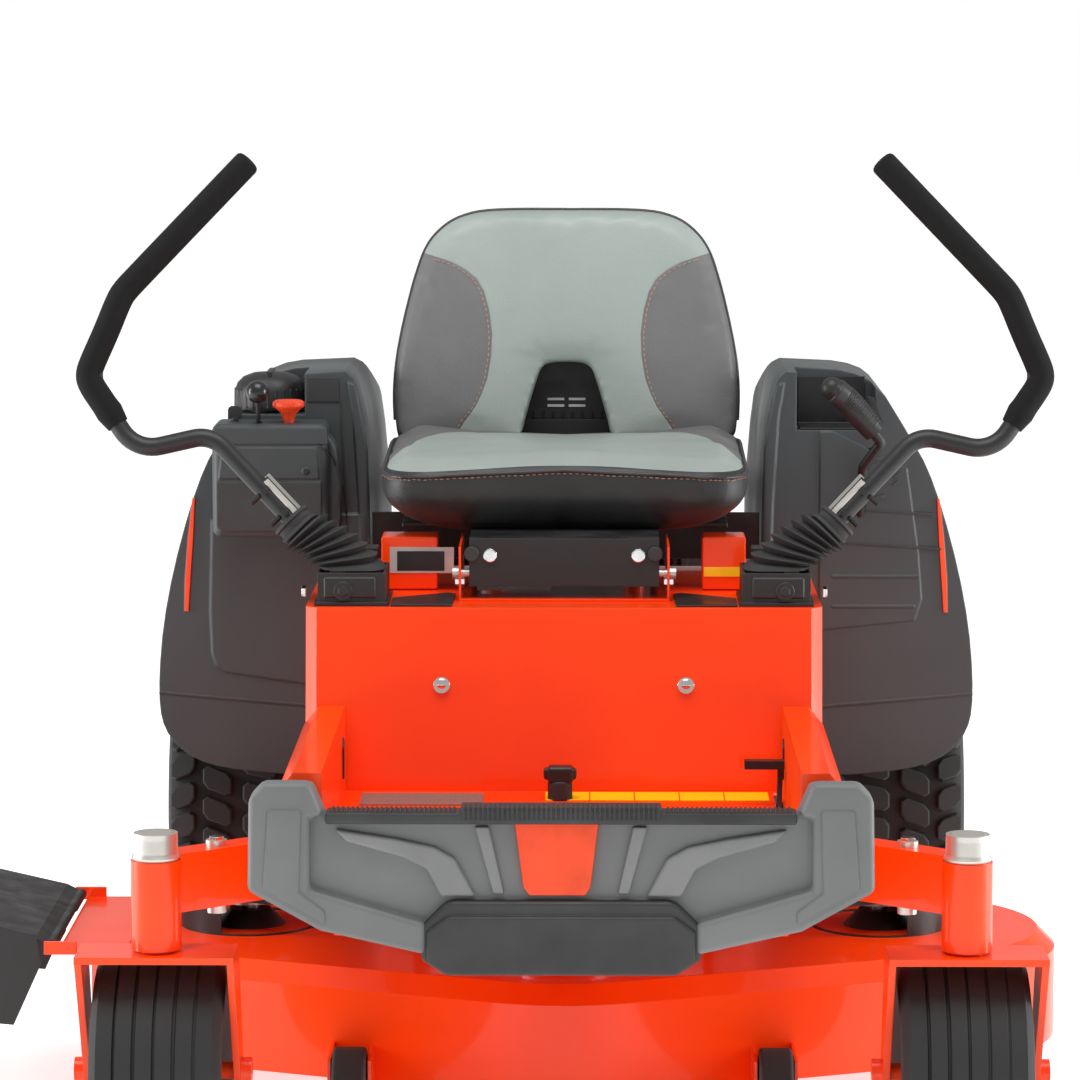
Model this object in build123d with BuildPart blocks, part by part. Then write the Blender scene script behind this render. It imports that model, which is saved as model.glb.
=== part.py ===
"""Zero turn mower with a 48 inch side discharge deck, in millimetres.

The machine is laid out from the middle of its rear axle: X runs from the operator's right (-X) to
the operator's left (+X), the front faces -Y and the ground is Z = 0. Every piece is moved at the
end so that the model's origin is on the ground, under the middle of the whole machine.
"""
from build123d import *
import math
import os

# ---------------------------------------------------------------- driving dimensions
SIDES = {"right": -1, "left": 1}

REAR_TYRE_R = 254.0          # 20 x 10 - 8 turf tyre
REAR_TYRE_W = 254.0
REAR_WHEEL_X = 415.0
RIM_SEAT_R = 104.8

CASTER_X = 458.0             # swivel axis
CASTER_Y = -1250.0
CASTER_TRAIL = 68.0
ARM_BOLT = (394.0, -1196.0)    # X, Y of the bolt through each front arm
CASTER_WHEEL_R = 140.0       # 11 x 6 - 5 caster tyre
CASTER_WHEEL_W = 152.0
BARREL_R = 28.5
STEM_R = 12.7
BARREL_Z = (297.0, 399.0)

RAIL_X = (205.0, 255.0)      # two box section rails
RAIL_Y = (-1288.0, 430.0)
RAIL_Z = (320.0, 397.0)
SHEET = 3.0                  # sheet metal thickness
FLOOR_Z = 400.0

BOX_X = 318.0                # seat box half width
BOX_TOP_Z = 622.0
BOX_FRONT_Y = (-800.0, -768.0)   # foot and top of the sloping front
BOX_REAR_Y = -345.0

SEAT_HINGE = (-690.0, 655.0)     # Y, Z
LEVER_PIVOT = (-697.0, 640.0)    # Y, Z of the fore and aft shaft
BAR_PIVOT = (288.0, -697.0, 668.0)
BAR_R = 11.5
GRIP_R = 16.5
BAR_LEAN = 0.2                   # the bars lean back by this much of their height

SPINDLES = {"right": (-400.0, -620.0), "centre": (0.0, -780.0), "left": (400.0, -620.0)}
DECK_R = 222.0               # shell round each blade
DECK_Z = (65.0, 198.0)
BLADE_R = 210.0
SPINDLE_R = 12.0
PULLEY_R = 60.0
BELT_Z = 247.0               # blade belt at the outer spindles
BELT_RISE = 0.07             # and how it climbs towards the engine

CRANK = (0.0, 250.0)         # engine shaft
PUMP_X = 110.0
PUMP_Y = -30.0
ENGINE_DECK_Z = (397.0, 405.0)

LIFT_SHAFT = (-840.0, 342.0)     # Y, Z
LIFT_SHAFT_R = 10.0
RUNNING = 0.05               # radial clearance of a shaft in its hole

# middle of the whole machine seen from the rear axle
CENTRE_X = -117.0
CENTRE_Y = -364.5

os.makedirs("parts", exist_ok=True)


# ---------------------------------------------------------------- small helpers
def finish(builder, name):
    """Name a piece, move it to the model's origin and write it."""
    builder.part.label = name
    piece = builder.part.moved(Location((-CENTRE_X, -CENTRE_Y, 0)))
    piece.label = name
    export_step(piece, f"parts/{name}.step")


def span(sign, near, far):
    """Limits along X of something between two distances from the centre plane."""
    return tuple(sorted((sign * near, sign * far)))


def block(x, y, z, mode=Mode.ADD):
    """A box between limits along X, Y and Z."""
    with Locations(((x[0] + x[1]) / 2, (y[0] + y[1]) / 2, (z[0] + z[1]) / 2)):
        Box(x[1] - x[0], y[1] - y[0], z[1] - z[0], mode=mode)


def post(x, y, z, radius, mode=Mode.ADD):
    """An upright round bar between two heights."""
    with Locations((x, y, (z[0] + z[1]) / 2)):
        Cylinder(radius, z[1] - z[0], mode=mode)


def rod(start, end, radius, mode=Mode.ADD):
    """A round bar from one point to another."""
    run = Vector(*end) - Vector(*start)
    with Locations(Plane(origin=Vector(*start) + run * 0.5, z_dir=run)):
        Cylinder(radius, run.length, mode=mode)


def side_plane(x):
    """A plane across the machine at x, whose own axes are Y and Z."""
    return Plane(origin=(x, 0, 0), x_dir=(0, 1, 0), z_dir=(1, 0, 0))


def front_plane(y):
    """A plane facing forward at y, whose own axes are X and Z."""
    return Plane(origin=(0, y, 0), x_dir=(1, 0, 0), z_dir=(0, -1, 0))


def outline(points, mode=Mode.ADD):
    """A closed straight sided face in the current sketch."""
    with BuildLine() as line:
        Polyline(*points, close=True)
    make_face(line.edges(), mode=mode)


def mirrored(sign, points):
    """The points of one side's outline, turned over for the other side."""
    return [(sign * x, z) for x, z in points]


# ---------------------------------------------------------------- frame
def main_frame():
    """Two box rails, their cross tubes, the engine plate and the rear hitch tab."""
    with BuildPart() as frame:
        for sign in SIDES.values():
            x = span(sign, *RAIL_X)
            block(x, RAIL_Y, RAIL_Z)
            block((x[0] + SHEET, x[1] - SHEET), RAIL_Y, (RAIL_Z[0] + SHEET, RAIL_Z[1] - SHEET),
                  Mode.SUBTRACT)
        inner = (-RAIL_X[0], RAIL_X[0])
        for y, z in (((-1120, -1070), (322, 362)), ((-700, -650), (330, 380)), ((380, 430), (330, 390))):
            block(inner, y, z)
            block(inner, (y[0] + SHEET, y[1] - SHEET), (z[0] + SHEET, z[1] - SHEET), Mode.SUBTRACT)
        block((-RAIL_X[1], RAIL_X[1]), (60, 430), ENGINE_DECK_Z)
        post(*CRANK, ENGINE_DECK_Z, 62, Mode.SUBTRACT)
        block((-60, 60), (430, 438), (300, 390))
        block((-60, 60), (438, 500), (300, 308))
        post(0, 470, (299, 309), 9.5, Mode.SUBTRACT)
        rod((-300, *LIFT_SHAFT), (300, *LIFT_SHAFT), LIFT_SHAFT_R + RUNNING, Mode.SUBTRACT)
    return frame


def caster_arms():
    """Outrigger arms with the swivel barrels, and the plates that weld them to the rails."""
    with BuildPart() as arms:
        for sign in SIDES.values():
            block(span(sign, 255, 267), (-1144, -984), (325, 396))
            with BuildSketch(Plane.XY.offset(338)):
                with BuildLine():
                    Polyline((sign * 443, -1237), (sign * 345, -1153), (sign * 262, -1064))
                trace(line_width=38)
            extrude(amount=67)
            post(sign * CASTER_X, CASTER_Y, BARREL_Z, BARREL_R)
            post(sign * CASTER_X, CASTER_Y, (BARREL_Z[1], BARREL_Z[1] + 10), 26, Mode.SUBTRACT)
            post(sign * CASTER_X, CASTER_Y, (BARREL_Z[0] - 1, BARREL_Z[1] + 1), STEM_R + RUNNING,
                 Mode.SUBTRACT)
            post(sign * ARM_BOLT[0], ARM_BOLT[1], (330, 410), 6.2, Mode.SUBTRACT)
            block(span(sign, 200, RAIL_X[1]), (-1150, -980), (300, 420), Mode.SUBTRACT)
            block(span(sign, 250, 326), (-1200, -980), (396, 420), Mode.SUBTRACT)
    return arms


def footwell():
    """Pressed floor pan with its two raised sides."""
    side = [(268, 400), (268, 505), (300, 505), (318, 482), (322, 400)]
    hollow = [(271, 396), (271, 502), (298.5, 502), (315, 481), (319, 396)]
    with BuildPart() as pan:
        block((-322, 322), (-1288, BOX_REAR_Y), (FLOOR_Z - SHEET, FLOOR_Z))
        for sign in SIDES.values():
            with BuildSketch(front_plane(-802)):
                outline(mirrored(sign, side))
            extrude(amount=486)
            with BuildSketch(front_plane(-805)):
                outline(mirrored(sign, hollow))
            extrude(amount=480, mode=Mode.SUBTRACT)
        block((-RAIL_X[0], RAIL_X[0]), (-1180, -1000), (FLOOR_Z, FLOOR_Z + 2))
        block((256, 266), (-956, -815), (390, 410), Mode.SUBTRACT)
        post(-4, -860, (390, 410), 5 + RUNNING, Mode.SUBTRACT)
    return pan


def seat_box():
    """Folded sheet box that carries the seat, with a sloping front and ears for the lever shafts."""
    profile = [(BOX_FRONT_Y[0], FLOOR_Z), (BOX_FRONT_Y[1], BOX_TOP_Z), (BOX_REAR_Y, BOX_TOP_Z),
               (BOX_REAR_Y, FLOOR_Z)]
    with BuildPart() as box:
        with BuildSketch(side_plane(-BOX_X)):
            outline(profile)
        extrude(amount=2 * BOX_X)
        corners = box.edges().filter_by(lambda e: abs(e.tangent_at(0).Z) > 0.9).group_by(Axis.Y)[0]
        chamfer(corners, 14)
        offset(amount=-SHEET, openings=box.faces().sort_by(Axis.Z)[0])
        for sign in SIDES.values():
            for x in ((228, 232), (292, 296)):
                block(span(sign, *x), (-712, -682), (BOX_TOP_Z - 1, 652))
            rod((sign * 226, *LEVER_PIVOT), (sign * 298, *LEVER_PIVOT), 5.1, Mode.SUBTRACT)
            with Locations(Plane(origin=(sign * 150, -782, 528), z_dir=(0, -1, 0.144))):
                Cylinder(5.2, 30, mode=Mode.SUBTRACT)
    return box


def seat_bracket():
    """U shaped strap with two ears for the seat hinge, and the two rear seat rests."""
    with BuildPart() as bracket:
        block((-131, 131), (-708, -560), (BOX_TOP_Z, BOX_TOP_Z + SHEET))
        for sign in SIDES.values():
            block(span(sign, 128, 131), (-708, -560), (BOX_TOP_Z, 690))
            post(sign * 90, -400, (BOX_TOP_Z, 696.6), 14)
        rod((-140, *SEAT_HINGE), (140, *SEAT_HINGE), 5.1, Mode.SUBTRACT)
    return bracket


def front_cover():
    """Moulded foot guard across the front, with a tower at each end and a bumper below."""
    half = [(0, 467), (262, 467), (277, 500), (332, 500), (349, 482), (349, 378), (268, 332),
            (150, 318), (150, 270), (0, 270)]
    shape = half + [(-x, z) for x, z in reversed(half[1:-1])]
    with BuildPart() as cover:
        with BuildSketch(front_plane(-1290)):
            outline(shape)
        extrude(amount=42)
        chamfer(cover.faces().sort_by(Axis.Y)[0].edges(), 5)
        with BuildSketch(front_plane(-1290)):
            outline(shape)
            offset(amount=-5, mode=Mode.REPLACE)
        extrude(amount=37, mode=Mode.SUBTRACT)
        block((-152, 152), (-1335, -1328), (285, 361))
        with BuildSketch(front_plane(-1331.9)):
            outline([(-50, 455), (50, 455), (41, 370), (-41, 370)])
        extrude(amount=2.5)
    return cover


# ---------------------------------------------------------------- fenders and what they hold
FENDER_FRONT_Y = -340.0
FENDER_REAR_Y = 300.0
FENDER_FACE = [(258, 400), (258, 775), (275, 866), (291, 879), (405, 872), (447, 805), (487, 736),
               (531, 575), (543, 443), (530, 389), (480, 352), (378, 342), (258, 342)]
FENDER_SIDE = [(FENDER_FRONT_Y, 330), (FENDER_FRONT_Y, 885), (-120, 885), (120, 820),
               (FENDER_REAR_Y, 640), (FENDER_REAR_Y, 330)]
FENDER_WALL = 4.0


def fender_shape(sign, shrink):
    """The fender's outside, or with a wall's thickness taken off, its inside."""
    with BuildPart(mode=Mode.PRIVATE) as solid:
        with BuildSketch(front_plane(FENDER_REAR_Y)):
            outline(mirrored(sign, FENDER_FACE))
            if shrink:
                offset(amount=-shrink, mode=Mode.REPLACE)
        extrude(amount=FENDER_REAR_Y - FENDER_FRONT_Y)
        with BuildSketch(side_plane(0)):
            outline(FENDER_SIDE)
            if shrink:
                offset(amount=-shrink, mode=Mode.REPLACE)
        extrude(amount=600, both=True, mode=Mode.INTERSECT)
    return solid.part


def fender(sign, pocket, pocket_cut):
    """Moulded fender over a rear wheel, open below and round the tyre, with a pocket in its top."""
    outer = fender_shape(sign, 0)
    inner = fender_shape(sign, FENDER_WALL)
    with BuildPart() as shell:
        add(outer)
        add(inner, mode=Mode.SUBTRACT)
        block(*pocket)
        block(*pocket_cut, Mode.SUBTRACT)
        block(span(sign, 240, 560), (-330, FENDER_REAR_Y + 1), (300, 400), Mode.SUBTRACT)
        rod((sign * 266, 0, REAR_TYRE_R), (sign * 600, 0, REAR_TYRE_R), REAR_TYRE_R + 14, Mode.SUBTRACT)
    return shell


CAP = (-393.0, -284.0)       # fuel filler


def fender_right():
    """Fender on the operator's right, with the filler pocket."""
    shell = fender(-1, ((-446, -340), (-338, -226), (815, 858)), ((-442, -344), (-341, -230), (822, 900)))
    with shell:
        post(*CAP, (800, 830), 30, Mode.SUBTRACT)
    return shell


def fender_left():
    """Fender on the operator's left, with a tray and the slot of the brake lever."""
    shell = fender(1, ((304, 408), (-338, -246), (796, 860)), ((308, 404), (-341, -250), (802, 900)))
    with shell:
        block((374, 406), (-345, -330), (655, 775), Mode.SUBTRACT)
    return shell


def fuel_tank():
    """Blow moulded tank inside the right fender, with its filler neck."""
    with BuildPart() as tank:
        block((-436, -300), (-325, 60), (565, 785))
        fillet(tank.edges(), 18)
        post(*CAP, (780, 836), 28)
        post(*CAP, (800, 837), 24, Mode.SUBTRACT)
    return tank


def fuel_cap():
    """Domed screw cap."""
    with BuildPart() as cap:
        post(*CAP, (826, 872), 44)
        fillet(cap.edges().group_by(Axis.Z)[-1], 18)
        post(*CAP, (825, 844), 28.6, Mode.SUBTRACT)
    return cap


CONSOLE_X = (-461.0, -311.0)
CONSOLE_Y = (-420.0, -341.0)
CONSOLE_Z = (668.0, 816.0)
THROTTLE = (-401.0, -385.0, 780.0)   # pivot
KNOB = (-362.0, -392.0)              # blade clutch knob
KEY = (-434.0, -372.0)


def control_console():
    """Moulded switch box on the front of the right fender."""
    with BuildPart() as console:
        block(CONSOLE_X, CONSOLE_Y, CONSOLE_Z)
        fillet(console.edges().filter_by(Axis.Z).group_by(Axis.Y)[0], 12)
        fillet(console.faces().sort_by(Axis.Y)[0].edges().filter_by(Axis.X), 10)
        offset(amount=-SHEET, openings=console.faces().sort_by(Axis.Y)[-1])
        block((THROTTLE[0] - 4, THROTTLE[0] + 4), (-404, -362), (800, 820), Mode.SUBTRACT)
        post(*KNOB, (800, 820), 7, Mode.SUBTRACT)
        post(*KEY, (800, 820), 6, Mode.SUBTRACT)
        for x in (-8, 8):
            block((THROTTLE[0] + x - 2, THROTTLE[0] + x + 2), (-395, -341), (770, 814))
        rod((THROTTLE[0] - 10, *THROTTLE[1:]), (THROTTLE[0] + 10, *THROTTLE[1:]), 3 + RUNNING,
            Mode.SUBTRACT)
    return console


def throttle_lever():
    """Flat lever on a cross pin with a ball on top."""
    x, y, z = THROTTLE
    with BuildPart() as lever:
        rod((x - 10, y, z), (x + 10, y, z), 3)
        rod((x, y, z), (x, y - 24, z + 66), 3)
        with Locations((x, y - 28, z + 78)):
            Sphere(14.5)
    return lever


def clutch_knob():
    """Mushroom knob on a stem that pulls up to start the blades."""
    with BuildPart() as knob:
        post(*KNOB, (785, 838), 6)
        with Locations((*KNOB, 827)):
            Cone(12, 8, 18)
        with Locations((*KNOB, 841)):
            Cylinder(19, 8)
        fillet(knob.edges().filter_by(GeomType.CIRCLE).group_by(Axis.Z)[-1], 3)
    return knob


def ignition_key():
    """Key with a flat bow, in the switch."""
    with BuildPart() as key:
        post(*KEY, (790, 820), 5)
        block((KEY[0] - 9, KEY[0] + 9), (KEY[1] - 2, KEY[1] + 2), (819, 836))
        fillet(key.edges().filter_by(Axis.Y).group_by(Axis.Z)[-1], 6)
    return key


BRAKE_PIVOT = (388.0, -300.0, 640.0)


def brake_lever():
    """Parking brake lever with a ribbed grip, on a cross pin inside the left fender."""
    x, y, z = BRAKE_PIVOT
    with BuildPart() as lever:
        rod((x - 14, y, z), (x + 14, y, z), 8)
        with BuildLine() as path:
            FilletPolyline((x, y, z), (x + 2, y - 86, z + 118), (x + 24, y - 106, z + 152),
                           (x + 8, y - 112, z + 172), radius=8)
        with BuildSketch(Plane(origin=(x, y, z), z_dir=path.wire() % 0)):
            Circle(7)
        sweep()
        rod((x + 14, y - 110, z + 167), (x - 42, y - 128, z + 224), 15)
        with Locations((x - 42, y - 128, z + 224)):
            Sphere(15)
    return lever


# ---------------------------------------------------------------- wheels
def rear_tyre(sign):
    """Hollow turf tyre."""
    bead, half, r = 85.0, REAR_TYRE_W / 2, REAR_TYRE_R
    with BuildPart() as tyre:
        with BuildSketch(Plane(origin=(sign * REAR_WHEEL_X, 0, r), x_dir=(1, 0, 0), z_dir=(0, -1, 0))):
            with BuildLine():
                ThreePointArc((-bead, 105), (-half, 185), (-112, 241))
                ThreePointArc((-112, 241), (0, r), (112, 241))
                ThreePointArc((112, 241), (half, 185), (bead, 105))
                Line((bead, 105), (bead - 11, 105))
                ThreePointArc((bead - 11, 105), (half - 12, 183), (100, 229))
                ThreePointArc((100, 229), (0, r - 14), (-100, 229))
                ThreePointArc((-100, 229), (-half + 12, 183), (-bead + 11, 105))
                Line((-bead + 11, 105), (-bead, 105))
            make_face()
        revolve(axis=Axis((0, 0, r), (1, 0, 0)))
    return tyre


def rear_rim(sign):
    """Pressed steel rim with its web, hub, wheel nuts and axle shaft."""
    x, z = REAR_WHEEL_X, REAR_TYRE_R
    with BuildPart() as rim:
        for near, far, radius in ((x - 99, x + 99, RIM_SEAT_R), (x - 99, x - 94.5, 112),
                                  (x + 94.5, x + 99, 112)):
            rod((sign * near, 0, z), (sign * far, 0, z), radius)
        rod((sign * (x - 100), 0, z), (sign * (x + 15), 0, z), 98, Mode.SUBTRACT)
        rod((sign * (x + 21), 0, z), (sign * (x + 100), 0, z), 98, Mode.SUBTRACT)
        rod((sign * 304, 0, z), (sign * (x + 24), 0, z), 34)
        rod((sign * (x + 24), 0, z), (sign * (x + 34), 0, z), 20)
        rod((sign * 200, 0, z), (sign * 304, 0, z), 12.5)
        with Locations(Plane(origin=(sign * (x + 27), 0, z), x_dir=(0, 1, 0), z_dir=(1, 0, 0))):
            with PolarLocations(57, 5):
                Cylinder(9, 14)
    return rim


def caster_fork(sign):
    """Swivel fork with its stem, nut and wheel axle."""
    x, axle_y, axle_z = sign * CASTER_X, CASTER_Y + CASTER_TRAIL, CASTER_WHEEL_R
    with BuildPart() as fork:
        block((x - 90, x + 90), (CASTER_Y - 40, CASTER_Y + 40), (286, 294))
        for leg_x in (x - 90, x + 82):
            with BuildSketch(side_plane(leg_x)):
                outline([(CASTER_Y - 40, 292), (CASTER_Y + 40, 292), (axle_y + 24, 146),
                         (axle_y + 12, 120), (axle_y - 12, 120), (axle_y - 24, 146)])
            extrude(amount=8)
        post(x, CASTER_Y, (290, 296), 20)
        post(x, CASTER_Y, (290, 418), STEM_R)
        post(x, CASTER_Y, (400.5, 414), 17)
        rod((x - 102, axle_y, axle_z), (x + 102, axle_y, axle_z), 10)
        for nut_x in (x - 96, x + 96):
            rod((nut_x - 6, axle_y, axle_z), (nut_x + 6, axle_y, axle_z), 15)
    return fork


def caster_wheel(sign):
    """Ribbed caster tyre on its moulded rim and bearing hub."""
    x, r, half = sign * CASTER_X, CASTER_WHEEL_R, CASTER_WHEEL_W / 2
    centre = (x, CASTER_Y + CASTER_TRAIL, r)
    with BuildPart() as wheel:
        with BuildSketch(Plane(origin=centre, x_dir=(1, 0, 0), z_dir=(0, -1, 0))):
            with BuildLine():
                Polyline((-half + 16, 72), (half - 16, 72))
                ThreePointArc((half - 16, 72), (half, 104), (half - 14, 132))
                ThreePointArc((half - 14, 132), (0, r), (-half + 14, 132))
                ThreePointArc((-half + 14, 132), (-half, 104), (-half + 16, 72))
            make_face()
            with BuildLine():
                Polyline((-80, 10 + RUNNING), (80, 10 + RUNNING), (80, 24), (20, 30), (20, 60), (64, 66),
                         (64, 71.8), (-64, 71.8), (-64, 66), (-20, 60), (-20, 30), (-80, 24), close=True)
            make_face()
        revolve(axis=Axis(centre, (1, 0, 0)))
    return wheel


# ---------------------------------------------------------------- seat
def seat_frame():
    """Channel under the seat, with the hinge tube at its front."""
    y, z = SEAT_HINGE
    with BuildPart() as channel:
        block((-118, 118), (-702, -220), (697, 700))
        block((-118, 118), (-702, -698), (640, 700))
        for sign in SIDES.values():
            block(span(sign, 115, 118), (-702, -560), (642, 700))
        rod((-118, y, z), (118, y, z), 8.5)
        rod((-125, y, z), (125, y, z), 5 + RUNNING, Mode.SUBTRACT)
    return channel


def seat_pan():
    """Pressed pan that carries the cushion and holds the back."""
    with BuildPart() as pan:
        block((-222, 222), (-628, -150), (700, 706))
        fillet(pan.edges().filter_by(Axis.Z), 40)
        block((-200, 200), (-158, -150), (706, 800))
        for sign in SIDES.values():
            block(span(sign, 185, 200), (-150, -120), (700, 800))
    return pan


def seat_cushion():
    """Seat cushion."""
    with BuildPart() as cushion:
        with BuildSketch(side_plane(-238)):
            outline([(-640, 742), (-620, 706.4), (-162, 706.4), (-164, 780), (-420, 792), (-625, 779)])
        extrude(amount=476)
        fillet(cushion.edges().filter_by(lambda e: abs(e.tangent_at(0).X) < 0.1), 18)
    return cushion


BACK_FACE = [(-236, 800), (-237, 860), (-226, 920), (-200, 1010), (-175, 1055), (-118, 1087), (118, 1087),
             (175, 1055), (200, 1010), (226, 920), (237, 860), (236, 800), (64, 800), (26, 872), (-26, 872),
             (-64, 800)]


def seat_backrest():
    """Backrest, leaning back, with a vent cut up into its lower edge."""
    with BuildPart() as back:
        with BuildSketch(front_plane(0)):
            outline(BACK_FACE)
        extrude(amount=300)
        with BuildSketch(side_plane(0)):
            outline([(-225, 796), (-150, 1090), (-92, 1090), (-100, 980), (-152, 800.4)])
        extrude(amount=300, both=True, mode=Mode.INTERSECT)
    return back


# ---------------------------------------------------------------- steering levers
def bar_point(sign, x, z):
    """A point in the leaning plane of a lap bar."""
    return Vector(sign * x, BAR_PIVOT[1] + (z - BAR_PIVOT[2]) * BAR_LEAN, z)


BAR_CORNERS = [(288, 668), (440, 826), (534, 805), (595, 892), (556, 994), (400, 1160)]
BAR_BENDS = [40, 45, 60, 60]
GRIP_START = (557, 838)
GRIP_TIP = (396, 1164.5)


def along(points, radii, radius, mode=Mode.ADD):
    """A round bar along straight runs joined by bends."""
    with BuildLine() as path:
        FilletPolyline(*points, radius=radii)
    with BuildSketch(Plane(origin=path.wire() @ 0, z_dir=path.wire() % 0)) as section:
        Circle(radius)
    sweep(section.sketch, path=path.wire(), mode=mode)


def control_post(sign):
    """Fore and aft shaft tube with the fork that holds the lap bar's pin."""
    x, y, z = sign * BAR_PIVOT[0], BAR_PIVOT[1], BAR_PIVOT[2]
    with BuildPart() as yoke:
        rod((sign * 233, *LEVER_PIVOT), (sign * 291, *LEVER_PIVOT), 9)
        for near, far in ((-19, -15), (15, 19)):
            block(span(sign, 274, 291), (y + near, y + far), (LEVER_PIVOT[1] - 4, 682))
        block(span(sign, 250, 291), (y - 19, y + 19), (LEVER_PIVOT[1] - 6, LEVER_PIVOT[1] + 6))
        rod((sign * 230, *LEVER_PIVOT), (sign * 294, *LEVER_PIVOT), 5 + RUNNING, Mode.SUBTRACT)
        rod((x, y - 23, z), (x, y + 23, z), 5)
    return yoke


def lap_bar(sign):
    """Bent steel lap bar with its pivot boss and the flat strap it is bolted to."""
    x, y, z = sign * BAR_PIVOT[0], BAR_PIVOT[1], BAR_PIVOT[2]
    with BuildPart() as bar:
        along([bar_point(sign, *p) for p in BAR_CORNERS], BAR_BENDS, BAR_R)
        rod((x, y - 14.5, z), (x, y + 14.5, z), 12)
        start = bar_point(sign, 324, 705.5)
        run = bar_point(sign, 380, 763.7) - start
        strap_plane = Plane(origin=start + run * 0.5, x_dir=(0, 1, 0), z_dir=run)
        with Locations(strap_plane * Pos(0, sign * 13, 0)):
            Box(20, 6, run.length)
        rod((x, y - 15, z), (x, y + 15, z), 5 + RUNNING, Mode.SUBTRACT)
    return bar


def bar_grip(sign):
    """Foam grip closed over the end of the bar."""
    with BuildPart() as grip:
        corners = [GRIP_START, *BAR_CORNERS[3:5], GRIP_TIP]
        along([bar_point(sign, *p) for p in corners], BAR_BENDS[2:], GRIP_R)
        bore = [bar_point(sign, *p) for p in BAR_CORNERS[2:]]
        along(bore, BAR_BENDS[2:], BAR_R + RUNNING, Mode.SUBTRACT)
    return grip


BOOT_MOUTH = (331.0, 712.0)      # where the bar leaves the boot


def lever_boot(sign):
    """Rubber boot from the lever housing up to a collar round the lap bar."""
    mouth = bar_point(sign, *BOOT_MOUTH)
    rise = bar_point(sign, 402, 785) - bar_point(sign, 331, 711)
    with BuildPart() as boot:
        for inset, mode in ((0, Mode.ADD), (2.5, Mode.SUBTRACT)):
            with BuildSketch(Plane(origin=(sign * 266, -696, 664))):
                RectangleRounded(84 - 2 * inset, 100 - 2 * inset, 12)
            with BuildSketch(Plane(origin=mouth, x_dir=rise.cross(Vector(0, -1, 0)), z_dir=rise)):
                RectangleRounded(54 - 2 * inset, 54 - 2 * inset, 26 - inset)
            loft(mode=mode)
    return boot


def lever_housings():
    """The two moulded boxes on the corners of the seat box that cover the lever shafts."""
    with BuildPart() as housings:
        for sign in SIDES.values():
            block(span(sign, 220, 304), (-752, -640), (BOX_TOP_Z, 663))
            block(span(sign, 216, 308), (-756, -636), (BOX_TOP_Z, 627))
            block(span(sign, 223, 301), (-749, -643), (BOX_TOP_Z - 1, 664), Mode.SUBTRACT)
            rod((sign * 272, -756, 640), (sign * 272, -745, 640), 4.2, Mode.SUBTRACT)
    return housings


# ---------------------------------------------------------------- deck
def deck_outline(radius):
    """The rounded outline that wraps the three blade circles, in the current sketch."""
    with Locations(*SPINDLES.values()):
        Circle(radius)
    make_hull()


def deck_shell():
    """Pressed deck shell, open below and at the discharge side, with its hangers."""
    with BuildPart() as deck:
        with BuildSketch(Plane.XY.offset(DECK_Z[0])):
            deck_outline(DECK_R)
        extrude(amount=DECK_Z[1] - DECK_Z[0])
        chamfer(deck.edges().group_by(Axis.Z)[-1], 22)
        with BuildSketch(Plane.XY.offset(DECK_Z[0])):
            deck_outline(DECK_R - 4)
        extrude(amount=DECK_Z[1] - DECK_Z[0] - 24, mode=Mode.SUBTRACT)
        with BuildSketch(Plane.XY.offset(DECK_Z[1] - 24)):
            deck_outline(DECK_R - 26)
        extrude(amount=20, mode=Mode.SUBTRACT)
        for x, y in SPINDLES.values():
            post(x, y, (150, 210), 24, Mode.SUBTRACT)
        block((-660, -560), (-735, -515), (DECK_Z[0] - 1, 170), Mode.SUBTRACT)
        for sign in SIDES.values():
            block(span(sign, 174, 186), (-752, -728), (DECK_Z[1] - 2, 326))
            block(span(sign, 228, 232), (-1008, -905), (60, 110))
            block(span(sign, 276, 280), (-1008, -890), (60, 110))
            rod((sign * 226, -992, 70), (sign * 282, -992, 70), 6)
        block((-624, -540), (-812, -458), (DECK_Z[1] - 2, DECK_Z[1] + 1))
        for y in ((-812, -806), (-464, -458)):
            block((-640, -600), y, (DECK_Z[1] - 2, 212))
        rod((-632, -810, 205), (-632, -460, 205), 4)
    return deck


def scalp_wheel(sign):
    """Small roller that keeps the deck's front edge off the lawn."""
    with BuildPart() as roller:
        rod((sign * 234, -992, 70), (sign * 274, -992, 70), 52)
        fillet(roller.edges().filter_by(GeomType.CIRCLE), 5)
        rod((sign * 230, -992, 70), (sign * 278, -992, 70), 6 + RUNNING, Mode.SUBTRACT)
    return roller


def spindle_housings():
    """Three cast bearing housings bolted on the deck."""
    with BuildPart() as housings:
        for x, y in SPINDLES.values():
            with Locations((x, y, DECK_Z[1] + 10)):
                Cone(46, 26, 20)
            post(x, y, (135, DECK_Z[1]), 22)
            post(x, y, (130, DECK_Z[1] + 21), SPINDLE_R + RUNNING, Mode.SUBTRACT)
    return housings


def blade(place):
    """Mower blade with its bolt, spindle shaft and pulley."""
    x, y = SPINDLES[place]
    with BuildPart() as spindle:
        with BuildSketch(Plane.XY.offset(75)):
            with Locations((x, y)):
                SlotOverall(2 * BLADE_R, 56)
        extrude(amount=6)
        for sign in (-1, 1):
            block((x + min(sign * 120, sign * 196), x + max(sign * 120, sign * 196)),
                  (y + min(sign * 14, sign * 27), y + max(sign * 14, sign * 27)), (81, 95))
        post(x, y, (66, 75), 14)
        belt_z = BELT_Z + (y - SPINDLES["left"][1]) * BELT_RISE
        post(x, y, (70, belt_z + 16), SPINDLE_R)
        post(x, y, (85, 130), 18)
        post(x, y, (belt_z - 13, belt_z + 13), PULLEY_R - 8)
        for z in ((belt_z - 14, belt_z - 10.5), (belt_z + 10.5, belt_z + 14)):
            post(x, y, z, PULLEY_R + 6)
    return spindle


DRIVE_BELT_Z = (345.0, 355.0)


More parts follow.
